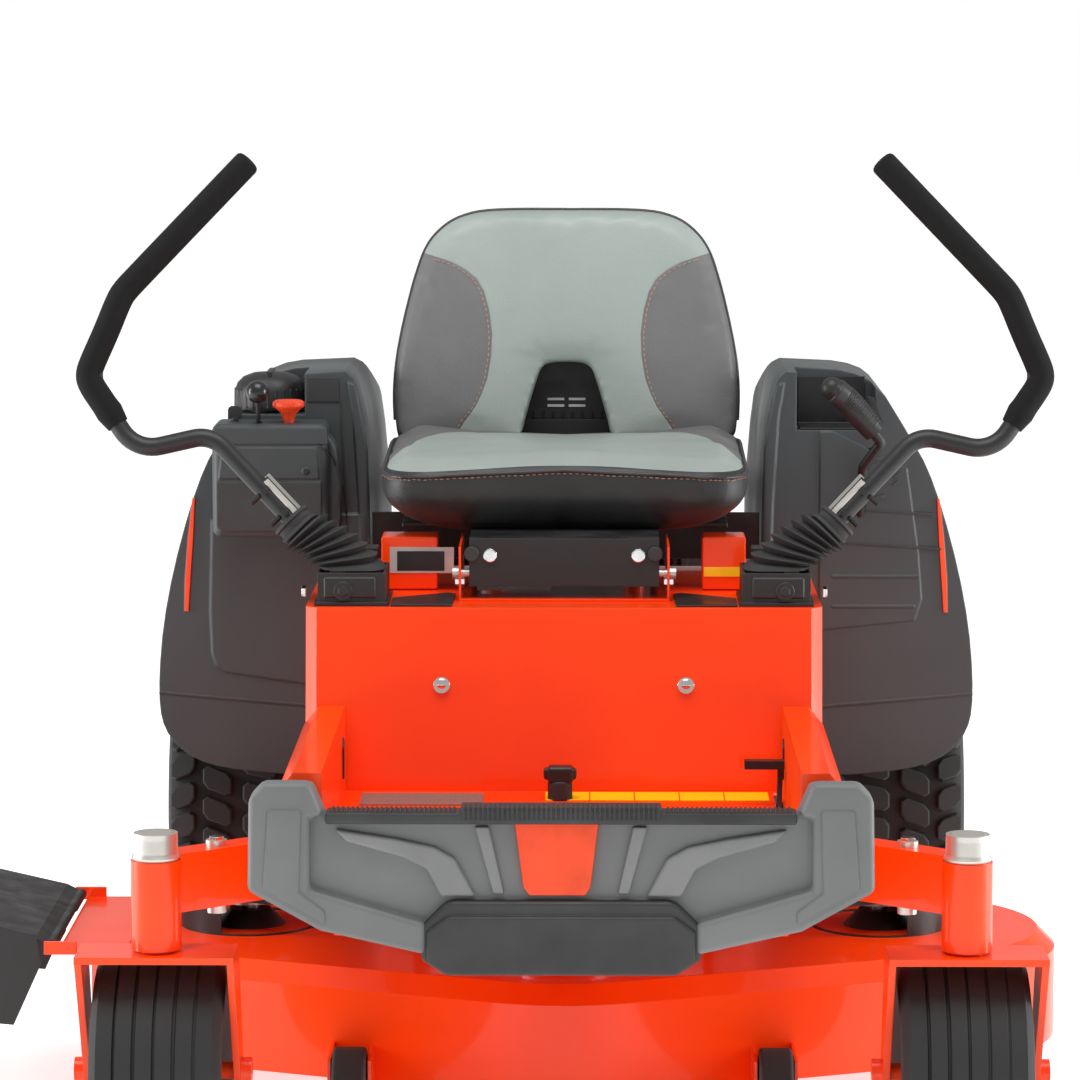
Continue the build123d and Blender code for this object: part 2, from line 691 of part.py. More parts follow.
def deck_belt():
    """Blade belt from the engine's lower pulley round the three spindles."""
    tilt = math.degrees(math.atan(BELT_RISE))
    plane = Plane(origin=(0, -620, BELT_Z), x_dir=(1, 0, 0)).rotated((tilt, 0, 0))
    with BuildPart() as belt:
        with BuildSketch(plane):
            with Locations((400, 0), (-400, 0), (0, -160)):
                Circle(PULLEY_R + 2)
            with Locations((0, (CRANK[1] + 620) * math.hypot(1, BELT_RISE))):
                Circle(58)
            make_hull()
            offset(amount=-9, mode=Mode.SUBTRACT)
        extrude(amount=5, both=True)
    return belt


def belt_covers():
    """Two moulded covers over the outer spindle pulleys, open to the belt."""
    with BuildPart() as covers:
        for sign in SIDES.values():
            x, y = SPINDLES["left" if sign > 0 else "right"]
            post(x, y, (DECK_Z[1], 282), 88)
            post(x, y, (DECK_Z[1] - 1, 278), 84, Mode.SUBTRACT)
            block(span(sign, abs(x) - 100, abs(x) + 30), (y - 100, y), (200, 278), Mode.SUBTRACT)
            block(span(sign, abs(x) - 100, abs(x) + 78), (y, y + 100), (200, 278), Mode.SUBTRACT)
    return covers


CHUTE_TOP = [(-632, 209), (-650, 218), (-737, 238), (-800, 233), (-850, 190), (-856, 120)]


def discharge_chute():
    """Flap over the side discharge, on its hinge rod."""
    with BuildPart() as chute:
        with BuildSketch(front_plane(-470)):
            outline(CHUTE_TOP + [(x, z - 4) for x, z in reversed(CHUTE_TOP[:-1])])
        extrude(amount=330)
        for y in (-796, -470):
            with BuildSketch(front_plane(y)):
                outline(CHUTE_TOP[1:] + [(-680, 105), (-646, 180)])
            extrude(amount=4)
        rod((-632, -798, 205), (-632, -472, 205), 7)
        rod((-632, -810, 205), (-632, -460, 205), 4 + RUNNING, Mode.SUBTRACT)
        block((-660, -620), (-700, -560), (190, 206), Mode.SUBTRACT)
    return chute


# ---------------------------------------------------------------- lift
def lift_pedal():
    """Deck lift pedal on its cross shaft, with the two lifting arms."""
    y, z = LIFT_SHAFT
    with BuildPart() as lift:
        rod((-262, y, z), (264, y, z), LIFT_SHAFT_R)
        rod((258, y, z), (264, y, z), 18)
        with BuildSketch(side_plane(258)):
            outline([(y + 8, z), (y - 8, z), (y - 66, z + 86), (y - 72, z + 112), (y - 56, z + 112),
                     (y - 50, z + 90)])
        extrude(amount=6)
        block((218, 266), (y - 74, y - 56), (z + 104, z + 114))
        for sign in SIDES.values():
            block(span(sign, 172, 188), (y, y + 112), (z - 7, z + 7))
            rod((sign * 170, y, z), (sign * 190, y, z), 16)
    return lift


def height_knob():
    """T handled knob that sets the cutting height, through the floor."""
    with BuildPart() as knob:
        post(-4, -860, (385, 428), 5)
        post(-4, -860, (400.5, 412), 11)
        block((-23, 15), (-866, -854), (426, 441))
        fillet(knob.edges().filter_by(Axis.Z), 4)
    return knob


# ---------------------------------------------------------------- power unit
def engine_block():
    """Vertical shaft V twin: crankcase, finned cylinders and their heads."""
    with BuildPart() as engine:
        block((-135, 135), (120, 380), (405, 500))
        fillet(engine.edges().filter_by(Axis.Z), 30)
        block((-110, 110), (140, 360), (500, 545))
        for sign in SIDES.values():
            for n in range(6):
                with Locations(Plane(origin=(sign * (88 + 13 * n), 300, 520), z_dir=(sign, 0.35, 0))):
                    Box(96, 110, 7)
            with Locations(Plane(origin=(sign * 120, 311, 520), z_dir=(sign, 0.35, 0))):
                Box(70, 84, 110)
            with Locations(Plane(origin=(sign * 176, 330, 520), z_dir=(sign, 0.35, 0))):
                Box(92, 104, 24)
        post(*CRANK, (404, 440), 14.1, Mode.SUBTRACT)
    return engine


def blower_housing():
    """Cooling shroud over the flywheel, with its round air screen."""
    with BuildPart() as shroud:
        with BuildSketch(Plane.XY.offset(585)):
            with Locations(CRANK):
                Circle(165)
            with Locations((0, 330)):
                RectangleRounded(300, 150, 30)
        extrude(amount=85)
        fillet(shroud.edges().group_by(Axis.Z)[-1], 12)
        offset(amount=-SHEET, openings=shroud.faces().sort_by(Axis.Z)[0])
        post(*CRANK, (660, 690), 110)
        post(*CRANK, (655, 686), 106, Mode.SUBTRACT)
        for k in range(8):
            with Locations(Location((CRANK[0], CRANK[1], 688), (0, 0, 22.5 * k))):
                Box(160, 5, 12, mode=Mode.SUBTRACT)
        post(*CRANK, (545, 672), 60)
    return shroud


def air_cleaner():
    """Canister air cleaner across the back of the shroud."""
    with BuildPart() as cleaner:
        rod((-115, 412, 735), (115, 412, 735), 46)
        rod((115, 412, 735), (128, 412, 735), 50)
        block((-30, 30), (372, 412), (670, 720))
    return cleaner


def muffler():
    """Twin inlet muffler behind the engine."""
    with BuildPart() as box:
        block((-140, 140), (445, 520), (425, 520))
        fillet(box.edges().filter_by(Axis.X), 28)
        for sign in SIDES.values():
            rod((sign * 110, 385, 470), (sign * 110, 450, 470), 16)
        rod((150, 485, 450), (135, 485, 450), 18)
    return box


def engine_guard():
    """Rear bumper tube round the engine."""
    with BuildPart() as guard:
        points = [(-230, 438, 355), (-230, 590, 355), (-230, 590, 640), (230, 590, 640), (230, 590, 355),
                  (230, 438, 355)]
        along([Vector(*p) for p in points], 45, 16)
        rod((-222, 590, 480), (222, 590, 480), 12)
        for sign in SIDES.values():
            block(span(sign, 206, 254), (430.2, 440), (323, 394))
    return guard


def transaxles():
    """Two hydrostatic transaxles with their axle horns and saddle brackets."""
    with BuildPart() as drives:
        for sign in SIDES.values():
            block(span(sign, 72, 200), (-75, 75), (185, 275))
            fillet(drives.edges().filter_by(Axis.Z).filter_by(
                lambda e, s=sign: s * e.center().X > 0 and e.length > 80), 20)
            rod((sign * 195, 0, REAR_TYRE_R), (sign * 300, 0, REAR_TYRE_R), 30)
            block(span(sign, 207, 253), (-34, 34), (REAR_TYRE_R, RAIL_Z[0]))
            post(sign * PUMP_X, PUMP_Y, (270, 300), 16)
            post(sign * PUMP_X, PUMP_Y, (260, 301), 9 + RUNNING, Mode.SUBTRACT)
            rod((sign * 198, 0, REAR_TYRE_R), (sign * 301, 0, REAR_TYRE_R), 12.5 + RUNNING, Mode.SUBTRACT)
    return drives


def pump_pulley(sign):
    """Pulley with its cooling fan on a transaxle's input shaft."""
    x, y = sign * PUMP_X, PUMP_Y
    with BuildPart() as pulley:
        post(x, y, (262, 366), 9)
        post(x, y, (340, 360), 52)
        for z in ((337, 341), (359, 363)):
            post(x, y, z, 68)
        with Locations((x, y, 322)):
            with PolarLocations(38, 8):
                Box(50, 4, 16)
        post(x, y, (314, 330), 18)
    return pulley


def crank_pulley():
    """Engine shaft with the drive pulley and the electric blade clutch below it."""
    with BuildPart() as pulley:
        post(*CRANK, (290, 436), 14)
        post(*CRANK, (340, 360), 42)
        for z in ((337, 341), (359, 363)):
            post(*CRANK, z, 56)
        post(*CRANK, (294, 320), 47)
        for z in ((291, 294.5), (322, 326)):
            post(*CRANK, z, 66)
    return pulley


def drive_belt():
    """Belt from the engine to both transaxle pulleys."""
    with BuildPart() as belt:
        with BuildSketch(Plane.XY.offset(DRIVE_BELT_Z[0])):
            with Locations((PUMP_X, PUMP_Y), (-PUMP_X, PUMP_Y)):
                Circle(62)
            with Locations(CRANK):
                Circle(52)
            make_hull()
            offset(amount=-9, mode=Mode.SUBTRACT)
        extrude(amount=DRIVE_BELT_Z[1] - DRIVE_BELT_Z[0])
    return belt


def battery():
    """Battery with two terminals, in the seat box."""
    with BuildPart() as cell:
        block((-98, 98), (-600, -470), (FLOOR_Z, 560))
        fillet(cell.edges().filter_by(Axis.Z), 6)
        for x in (-70, 70):
            post(x, -580, (560, 572), 9)
    return cell


def fasteners():
    """Bolts, pins and the dust caps over the caster bearings."""
    slope = Vector(0, -1, 0.144).normalized()
    with BuildPart() as bolts:
        for sign in SIDES.values():
            post(sign * CASTER_X, CASTER_Y, (BARREL_Z[1], 430), 25)
            post(sign * CASTER_X, CASTER_Y, (BARREL_Z[1] - 1, 427), 22.5, Mode.SUBTRACT)
            post(sign * ARM_BOLT[0], ARM_BOLT[1], (328, 408), 6)
            post(sign * ARM_BOLT[0], ARM_BOLT[1], (405, 412), 12)
            post(sign * ARM_BOLT[0], ARM_BOLT[1], (328, 338), 11)
            centre = Vector(sign * 150, -781.6, 528)
            rod(centre - slope * 8, centre + slope * 3, 5)
            rod(centre + slope * 0.6, centre + slope * 5, 10)
            rod((sign * 227, *LEVER_PIVOT), (sign * 297, *LEVER_PIVOT), 5)
            rod((sign * 272, -754, 640), (sign * 272, -745, 640), 4)
            rod((sign * 272, -757, 640), (sign * 272, -752, 640), 10)
        rod((-138, *SEAT_HINGE), (138, *SEAT_HINGE), 5)
        for sign in SIDES.values():
            rod((sign * 131, *SEAT_HINGE), (sign * 139, *SEAT_HINGE), 8)
    return bolts


# ---------------------------------------------------------------- write every piece
SINGLE_PIECES = {
    "main_frame": main_frame, "caster_arms": caster_arms, "footwell": footwell, "seat_box": seat_box,
    "seat_bracket": seat_bracket, "front_cover": front_cover, "fender_right": fender_right,
    "fender_left": fender_left, "fuel_tank": fuel_tank, "fuel_cap": fuel_cap,
    "control_console": control_console, "throttle_lever": throttle_lever, "clutch_knob": clutch_knob,
    "ignition_key": ignition_key, "brake_lever": brake_lever, "seat_frame": seat_frame,
    "seat_pan": seat_pan, "seat_cushion": seat_cushion, "seat_backrest": seat_backrest,
    "lever_housings": lever_housings, "deck_shell": deck_shell, "spindle_housings": spindle_housings,
    "deck_belt": deck_belt, "belt_covers": belt_covers, "discharge_chute": discharge_chute,
    "lift_pedal": lift_pedal, "height_knob": height_knob, "engine_block": engine_block,
    "blower_housing": blower_housing, "air_cleaner": air_cleaner, "muffler": muffler,
    "engine_guard": engine_guard, "transaxles": transaxles, "crank_pulley": crank_pulley,
    "drive_belt": drive_belt, "battery": battery, "fasteners": fasteners,
}
PAIRED_PIECES = {
    "rear_tyre": rear_tyre, "rear_rim": rear_rim, "caster_fork": caster_fork,
    "caster_wheel": caster_wheel, "control_post": control_post, "lap_bar": lap_bar,
    "bar_grip": bar_grip, "lever_boot": lever_boot, "scalp_wheel": scalp_wheel,
    "pump_pulley": pump_pulley,
}

for piece_name, make in SINGLE_PIECES.items():
    finish(make(), piece_name)
for piece_name, make in PAIRED_PIECES.items():
    for side_name, side_sign in SIDES.items():
        finish(make(side_sign), f"{piece_name}_{side_name}")
for place_name in SPINDLES:
    finish(blade(place_name), f"blade_{place_name}")
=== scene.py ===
import math

import bmesh
import bpy
from bpy.props import (
    FloatProperty,
    FloatVectorProperty,
    IntProperty,
    PointerProperty,
)
from mathutils import Matrix, Vector
from mathutils.bvhtree import BVHTree


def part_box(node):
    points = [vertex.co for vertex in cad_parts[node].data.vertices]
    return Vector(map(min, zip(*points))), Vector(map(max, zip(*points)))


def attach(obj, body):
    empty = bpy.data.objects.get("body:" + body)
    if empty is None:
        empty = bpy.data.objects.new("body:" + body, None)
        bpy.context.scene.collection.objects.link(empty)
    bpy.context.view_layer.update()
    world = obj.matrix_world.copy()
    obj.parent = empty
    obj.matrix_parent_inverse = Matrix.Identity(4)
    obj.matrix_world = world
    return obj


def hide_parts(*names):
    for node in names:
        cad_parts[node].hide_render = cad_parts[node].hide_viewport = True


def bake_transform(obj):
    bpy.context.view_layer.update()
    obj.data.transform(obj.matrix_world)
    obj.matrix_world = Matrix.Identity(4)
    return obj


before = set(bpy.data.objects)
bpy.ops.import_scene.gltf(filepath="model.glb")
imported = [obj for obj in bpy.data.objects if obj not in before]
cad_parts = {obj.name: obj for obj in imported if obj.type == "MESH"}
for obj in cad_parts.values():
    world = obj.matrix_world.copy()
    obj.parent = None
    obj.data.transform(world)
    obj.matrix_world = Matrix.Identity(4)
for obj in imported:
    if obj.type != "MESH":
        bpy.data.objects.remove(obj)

bl_info = {
    "name": "Zero turn mower looks",
    "version": (1, 0, 0),
    "blender": (4, 5, 0),
    "location": "3D View > Sidebar > Mower",
    "description": "Builds the finishes, tyres, seat, fenders, covers and controls of the mower",
    "category": "Object",
}


# ---------------------------------------------------------------- colours
def linear(code):
    """Linear light values of a display colour such as '#ff4b00'."""
    def channel(pair):
        share = int(pair, 16) / 255
        return share / 12.92 if share <= 0.04045 else ((share + 0.055) / 1.055) ** 2.4
    return tuple(channel(code[place:place + 2]) for place in (1, 3, 5))


def colour(name, description, code):
    """A colour setting with its starting value."""
    return FloatVectorProperty(name=name, description=description, subtype="COLOR",
                               size=3, min=0.0, max=1.0, default=linear(code))


def length(name, description, start):
    """A length setting in metres."""
    return FloatProperty(name=name, description=description, default=start,
                         unit="LENGTH", subtype="DISTANCE")


class MowerColours(bpy.types.PropertyGroup):
    """Colours of the mower's finishes."""
    orange: colour("Orange enamel", "Sheet metal, arms and deck", "#ff4600")
    orange_shade: colour("Orange shade", "Depth of the orange coat", "#f43c00")
    plastic: colour("Moulded grey", "Fenders and console", "#393e40")
    cover: colour("Cover grey", "Front cover", "#727474")
    black: colour("Black plastic", "Housings, tray and knobs", "#161616")
    enamel: colour("Black enamel", "Lap bars and seat frame", "#050505")
    rubber: colour("Tyre rubber", "Tyres", "#1d1d1d")
    foam: colour("Foam", "Lap bar grips", "#101010")
    vinyl: colour("Centre vinyl", "Light panels of the seat", "#929b96")
    bolster: colour("Bolster vinyl", "Side panels of the seat", "#686868")
    skirt: colour("Skirt vinyl", "Sides and back of the seat", "#2a2a2a")
    thread: colour("Thread", "Stitching", "#b5653c")
    knob: colour("Knob", "Blade clutch knob", "#ff4a10")
    yellow: colour("Yellow label", "Label strip on the floor pan", "#ffd400")


class WheelSizes(bpy.types.PropertyGroup):
    """Sizes of the tyres."""
    lug_height: length("Lug height", "How far the tread blocks stand up", 0.011)
    lug_rows: IntProperty(name="Lug rows", description="Tread blocks round the rear tyre",
                          default=38, min=12, max=80)
    caster_rib: length("Caster rib", "Depth of the caster tyre's grooves", 0.004)


class SeatSizes(bpy.types.PropertyGroup):
    """Sizes of the seat's upholstery."""
    swell: length("Swell", "How far the padding may swell", 0.007)
    voxel: length("Voxel", "Grid that the padding is remeshed on", 0.0055)
    pressure: FloatProperty(name="Pressure", description="Cloth pressure of the padding",
                            default=4.0, min=0.0, max=20.0)
    piping: length("Piping", "Radius of the seam piping", 0.0028)
    stitch: length("Stitch", "Length of one stitch", 0.005)


class StageSettings(bpy.types.PropertyGroup):
    """The camera, the lights and the floor."""
    lens: FloatProperty(name="Lens", description="Focal length in millimetres", default=150.0,
                        min=20.0, max=400.0)
    key_power: FloatProperty(name="Key light", description="Power of the overhead softbox",
                             default=120.0, min=0.0, subtype="POWER", unit="POWER")
    side_power: FloatProperty(name="Side lights", description="Power of each side softbox",
                              default=75.0, min=0.0, subtype="POWER", unit="POWER")
    world: FloatProperty(name="Surroundings", description="Brightness of the white surroundings",
                         default=0.5, min=0.0, max=5.0)


# ---------------------------------------------------------------- where things are
MM = 0.001


def axle_place():
    """Matrix from millimetres about the rear axle, on the ground, to the model's frame."""
    left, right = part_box("rear_tyre_left"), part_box("rear_tyre_right")
    middle = (left[0] + left[1] + right[0] + right[1]) / 4
    return Matrix.Translation((middle.x, middle.y, 0)) @ Matrix.Scale(MM, 4)


PLACE = axle_place()
SIDES = {"right": -1, "left": 1}


def sided(sign, points):
    """The points of the left side's outline, turned over for the right side."""
    return [(sign * point[0], *point[1:]) for point in points]


def limits(sign, near, far):
    """Limits along X between two distances from the centre plane."""
    return tuple(sorted((sign * near, sign * far)))


# ---------------------------------------------------------------- shapes, in millimetres
def rounded(shape, edges, width, segments=2):
    """Round some edges of a shape."""
    if width > 0:
        bmesh.ops.bevel(shape, geom=list(edges), offset=width, offset_type="OFFSET",
                        segments=segments, profile=0.5, affect="EDGES", clamp_overlap=True,
                        material=-1)
    return shape


def block(x, y, z, bevel=0.0, segments=2):
    """A box between limits, with rounded edges."""
    shape = bmesh.new()
    bmesh.ops.create_cube(shape, size=1)
    bmesh.ops.scale(shape, verts=shape.verts, vec=(x[1] - x[0], y[1] - y[0], z[1] - z[0]))
    bmesh.ops.translate(shape, verts=shape.verts,
                        vec=((x[0] + x[1]) / 2, (y[0] + y[1]) / 2, (z[0] + z[1]) / 2))
    return rounded(shape, shape.edges, bevel, segments)


def rod(start, end, radius, far_radius=None, steps=24, bevel=0.0):
    """A round bar or cone from one point to another, with its rims rounded."""
    start, end = Vector(start), Vector(end)
    run = end - start
    shape = bmesh.new()
    bmesh.ops.create_cone(shape, cap_ends=True, segments=steps, radius1=radius,
                          radius2=radius if far_radius is None else far_radius, depth=run.length)
    if bevel:
        rims = [edge for edge in shape.edges if abs(edge.verts[0].co.z - edge.verts[1].co.z) < 0.01]
        rounded(shape, rims, bevel)
    turn = run.to_track_quat("Z", "Y").to_matrix().to_4x4()
    bmesh.ops.transform(shape, verts=shape.verts,
                        matrix=Matrix.Translation((start + end) / 2) @ turn)
    return shape


# for each axis of turning, the index along it and the index that the radius is laid out on
AXES = {"X": (0, 1), "Y": (1, 2), "Z": (2, 0)}


def lathe(profile, centre, axis="X", steps=64):
    """A closed profile of (distance along the axis, radius) turned about an axis."""
    along, across = AXES[axis]
    shape = bmesh.new()
    corners = []
    for step, radius in profile:
        place = [0.0, 0.0, 0.0]
        place[along] = step
        place[across] = max(radius, 0.0)
        corners.append(shape.verts.new(place))
    edges = [shape.edges.new(pair) for pair in zip(corners, corners[1:] + corners[:1])]
    axis_vector = [0.0, 0.0, 0.0]
    axis_vector[along] = 1.0
    bmesh.ops.spin(shape, geom=corners + edges, cent=(0, 0, 0), axis=axis_vector,
                   angle=math.tau, steps=steps, use_merge=True)
    bmesh.ops.remove_doubles(shape, verts=shape.verts, dist=0.001)
    bmesh.ops.recalc_face_normals(shape, faces=shape.faces)
    bmesh.ops.translate(shape, verts=shape.verts, vec=centre)
    return shape


def prism(outline, near, far, across="Y", bevel=0.0, segments=2):
    """A flat outline pushed along an axis: its points are (X, Z), (Y, Z) or (X, Y)."""
    place = {"Y": lambda a, b, c: (a, c, b), "X": lambda a, b, c: (c, a, b),
             "Z": lambda a, b, c: (a, b, c)}[across]
    shape = bmesh.new()
    face = shape.faces.new([shape.verts.new(place(a, b, near)) for a, b in outline])
    made = bmesh.ops.extrude_face_region(shape, geom=[face])
    moved = [part for part in made["geom"] if isinstance(part, bmesh.types.BMVert)]
    bmesh.ops.translate(shape, verts=moved, vec=place(0, 0, far - near))
    bmesh.ops.recalc_face_normals(shape, faces=shape.faces)
    hard = [edge for edge in shape.edges if edge.calc_face_angle(0) > 0.3]
    return rounded(shape, hard, bevel, segments)


def loft(rings, closed=False):
    """A skin through rings that have the same number of points, its ends capped."""
    shape = bmesh.new()
    rows = [[shape.verts.new(point) for point in ring] for ring in rings]
    count = len(rings[0])
    following_rows = rows[1:] + rows[:1] if closed else rows[1:]
    for low, high in zip(rows, following_rows):
        for index in range(count):
            following = (index + 1) % count
            shape.faces.new((low[index], low[following], high[following], high[index]))
    if not closed:
        shape.faces.new(rows[0])
        shape.faces.new(rows[-1])
    bmesh.ops.recalc_face_normals(shape, faces=shape.faces)
    return shape


def smoothed(points, rounds=3, closed=False):
    """A line with its corners cut, so that it bends smoothly."""
    points = [Vector(point) for point in points]
    for _ in range(rounds):
        following = points[1:] + points[:1] if closed else points[1:]
        pairs = zip(points, following)
        cut = [spot for a, b in pairs for spot in (a * 0.75 + b * 0.25, a * 0.25 + b * 0.75)]
        points = cut if closed else [points[0]] + cut[1:-1] + [points[-1]]
    return points


def tube(points, radius, steps=12, closed=False, radii=None):
    """A round bar along a line, its ends capped flat."""
    points = [Vector(point) for point in points]
    count = len(points)
    rings, side = [], None
    for index, point in enumerate(points):
        after = points[(index + 1) % count] if closed or index + 1 < count else point
        before = points[index - 1] if closed or index else point
        run = (after - before).normalized()
        if side is None:
            side = run.orthogonal().normalized()
        side = (side - run * side.dot(run)).normalized()
        other = run.cross(side)
        size = radii[index] if radii else radius
        rings.append([point + (side * math.cos(turn) + other * math.sin(turn)) * size
                      for turn in (math.tau * step / steps for step in range(steps))])
    return loft(rings, closed)


def add(target, source, material=0):
    """Put a finished shape into a piece, in one of the piece's materials."""
    for face in source.faces:
        face.material_index = material
    mesh = bpy.data.meshes.new("shape")
    source.to_mesh(mesh)
    source.free()
    target.from_mesh(mesh)
    bpy.data.meshes.remove(mesh)
    return target


def standing(shape):
    """A shape as a temporary object."""
    mesh = bpy.data.meshes.new("carving")
    shape.to_mesh(mesh)
    shape.free()
    made = bpy.data.objects.new("carving", mesh)
    bpy.context.scene.collection.objects.link(made)
    return made


def carved(shape, cutters, width=0.0):
    """Cut other shapes out of a shape and round the new edges."""
    body, tools = standing(shape), [standing(cutter) for cutter in cutters]
    old = {tuple(round(value, 2) for value in vertex.co) for vertex in body.data.vertices}
    for tool in tools:
        cut = body.modifiers.new("cut", "BOOLEAN")
        cut.operation, cut.solver, cut.object = "DIFFERENCE", "EXACT", tool
    result = bmesh.new()
    result.from_object(body, bpy.context.evaluated_depsgraph_get())
    for made in (body, *tools):
        mesh = made.data
        bpy.data.objects.remove(made)
        bpy.data.meshes.remove(mesh)
    fresh = {vertex for vertex in result.verts
             if tuple(round(value, 2) for value in vertex.co) not in old}
    hard = [edge for edge in result.edges if len(edge.link_faces) == 2
            and edge.calc_face_angle(0) > 0.6 and all(v in fresh for v in edge.verts)]
    return rounded(result, hard, width)


def softened(node, width, segments=2, angle=30):
    """A copy of a CAD node's shape with its hard edges rounded."""
    shape = bmesh.new()
    shape.from_mesh(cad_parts[node].data)
    bmesh.ops.transform(shape, verts=shape.verts, matrix=PLACE.inverted())
    bmesh.ops.remove_doubles(shape, verts=shape.verts, dist=0.01)
    bmesh.ops.dissolve_limit(shape, angle_limit=math.radians(1.5), verts=shape.verts,
                             edges=shape.edges)
    limit = math.radians(angle)
    hard = [edge for edge in shape.edges
            if len(edge.link_faces) == 2 and edge.calc_face_angle(0) > limit]
    return rounded(shape, hard, width, segments)


def piece(name, shape, body, materials, stands_for=(), angle=38):
    """Turn a shape into an object that rides on a body and stands for some CAD nodes."""
    bmesh.ops.recalc_face_normals(shape, faces=shape.faces)
    bmesh.ops.transform(shape, verts=shape.verts, matrix=PLACE)
    mesh = bpy.data.meshes.new(name)
    shape.to_mesh(mesh)
    shape.free()
    made = bpy.data.objects.new(name, mesh)
    bpy.context.scene.collection.objects.link(made)
    for material in materials:
        mesh.materials.append(finish(material))
    mesh.shade_smooth()
    mesh.set_sharp_from_angle(angle=math.radians(angle))
    if body:
        weighted = made.modifiers.new("weighted", "WEIGHTED_NORMAL")
        weighted.keep_sharp = True
        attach(made, body)
    if stands_for:
        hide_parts(*stands_for)
    return made


# ---------------------------------------------------------------- materials
def add_node(tree, kind, inputs=None, **properties):
    """Add one shader node with its settings, input values and incoming links."""
    made = tree.nodes.new(kind)
    for name, value in properties.items():
        setattr(made, name, value)
    for name, value in (inputs or {}).items():
        socket = made.inputs[name]
        if isinstance(value, bpy.types.NodeSocket):
            tree.links.new(value, socket)
        else:
            socket.default_value = value
    return made


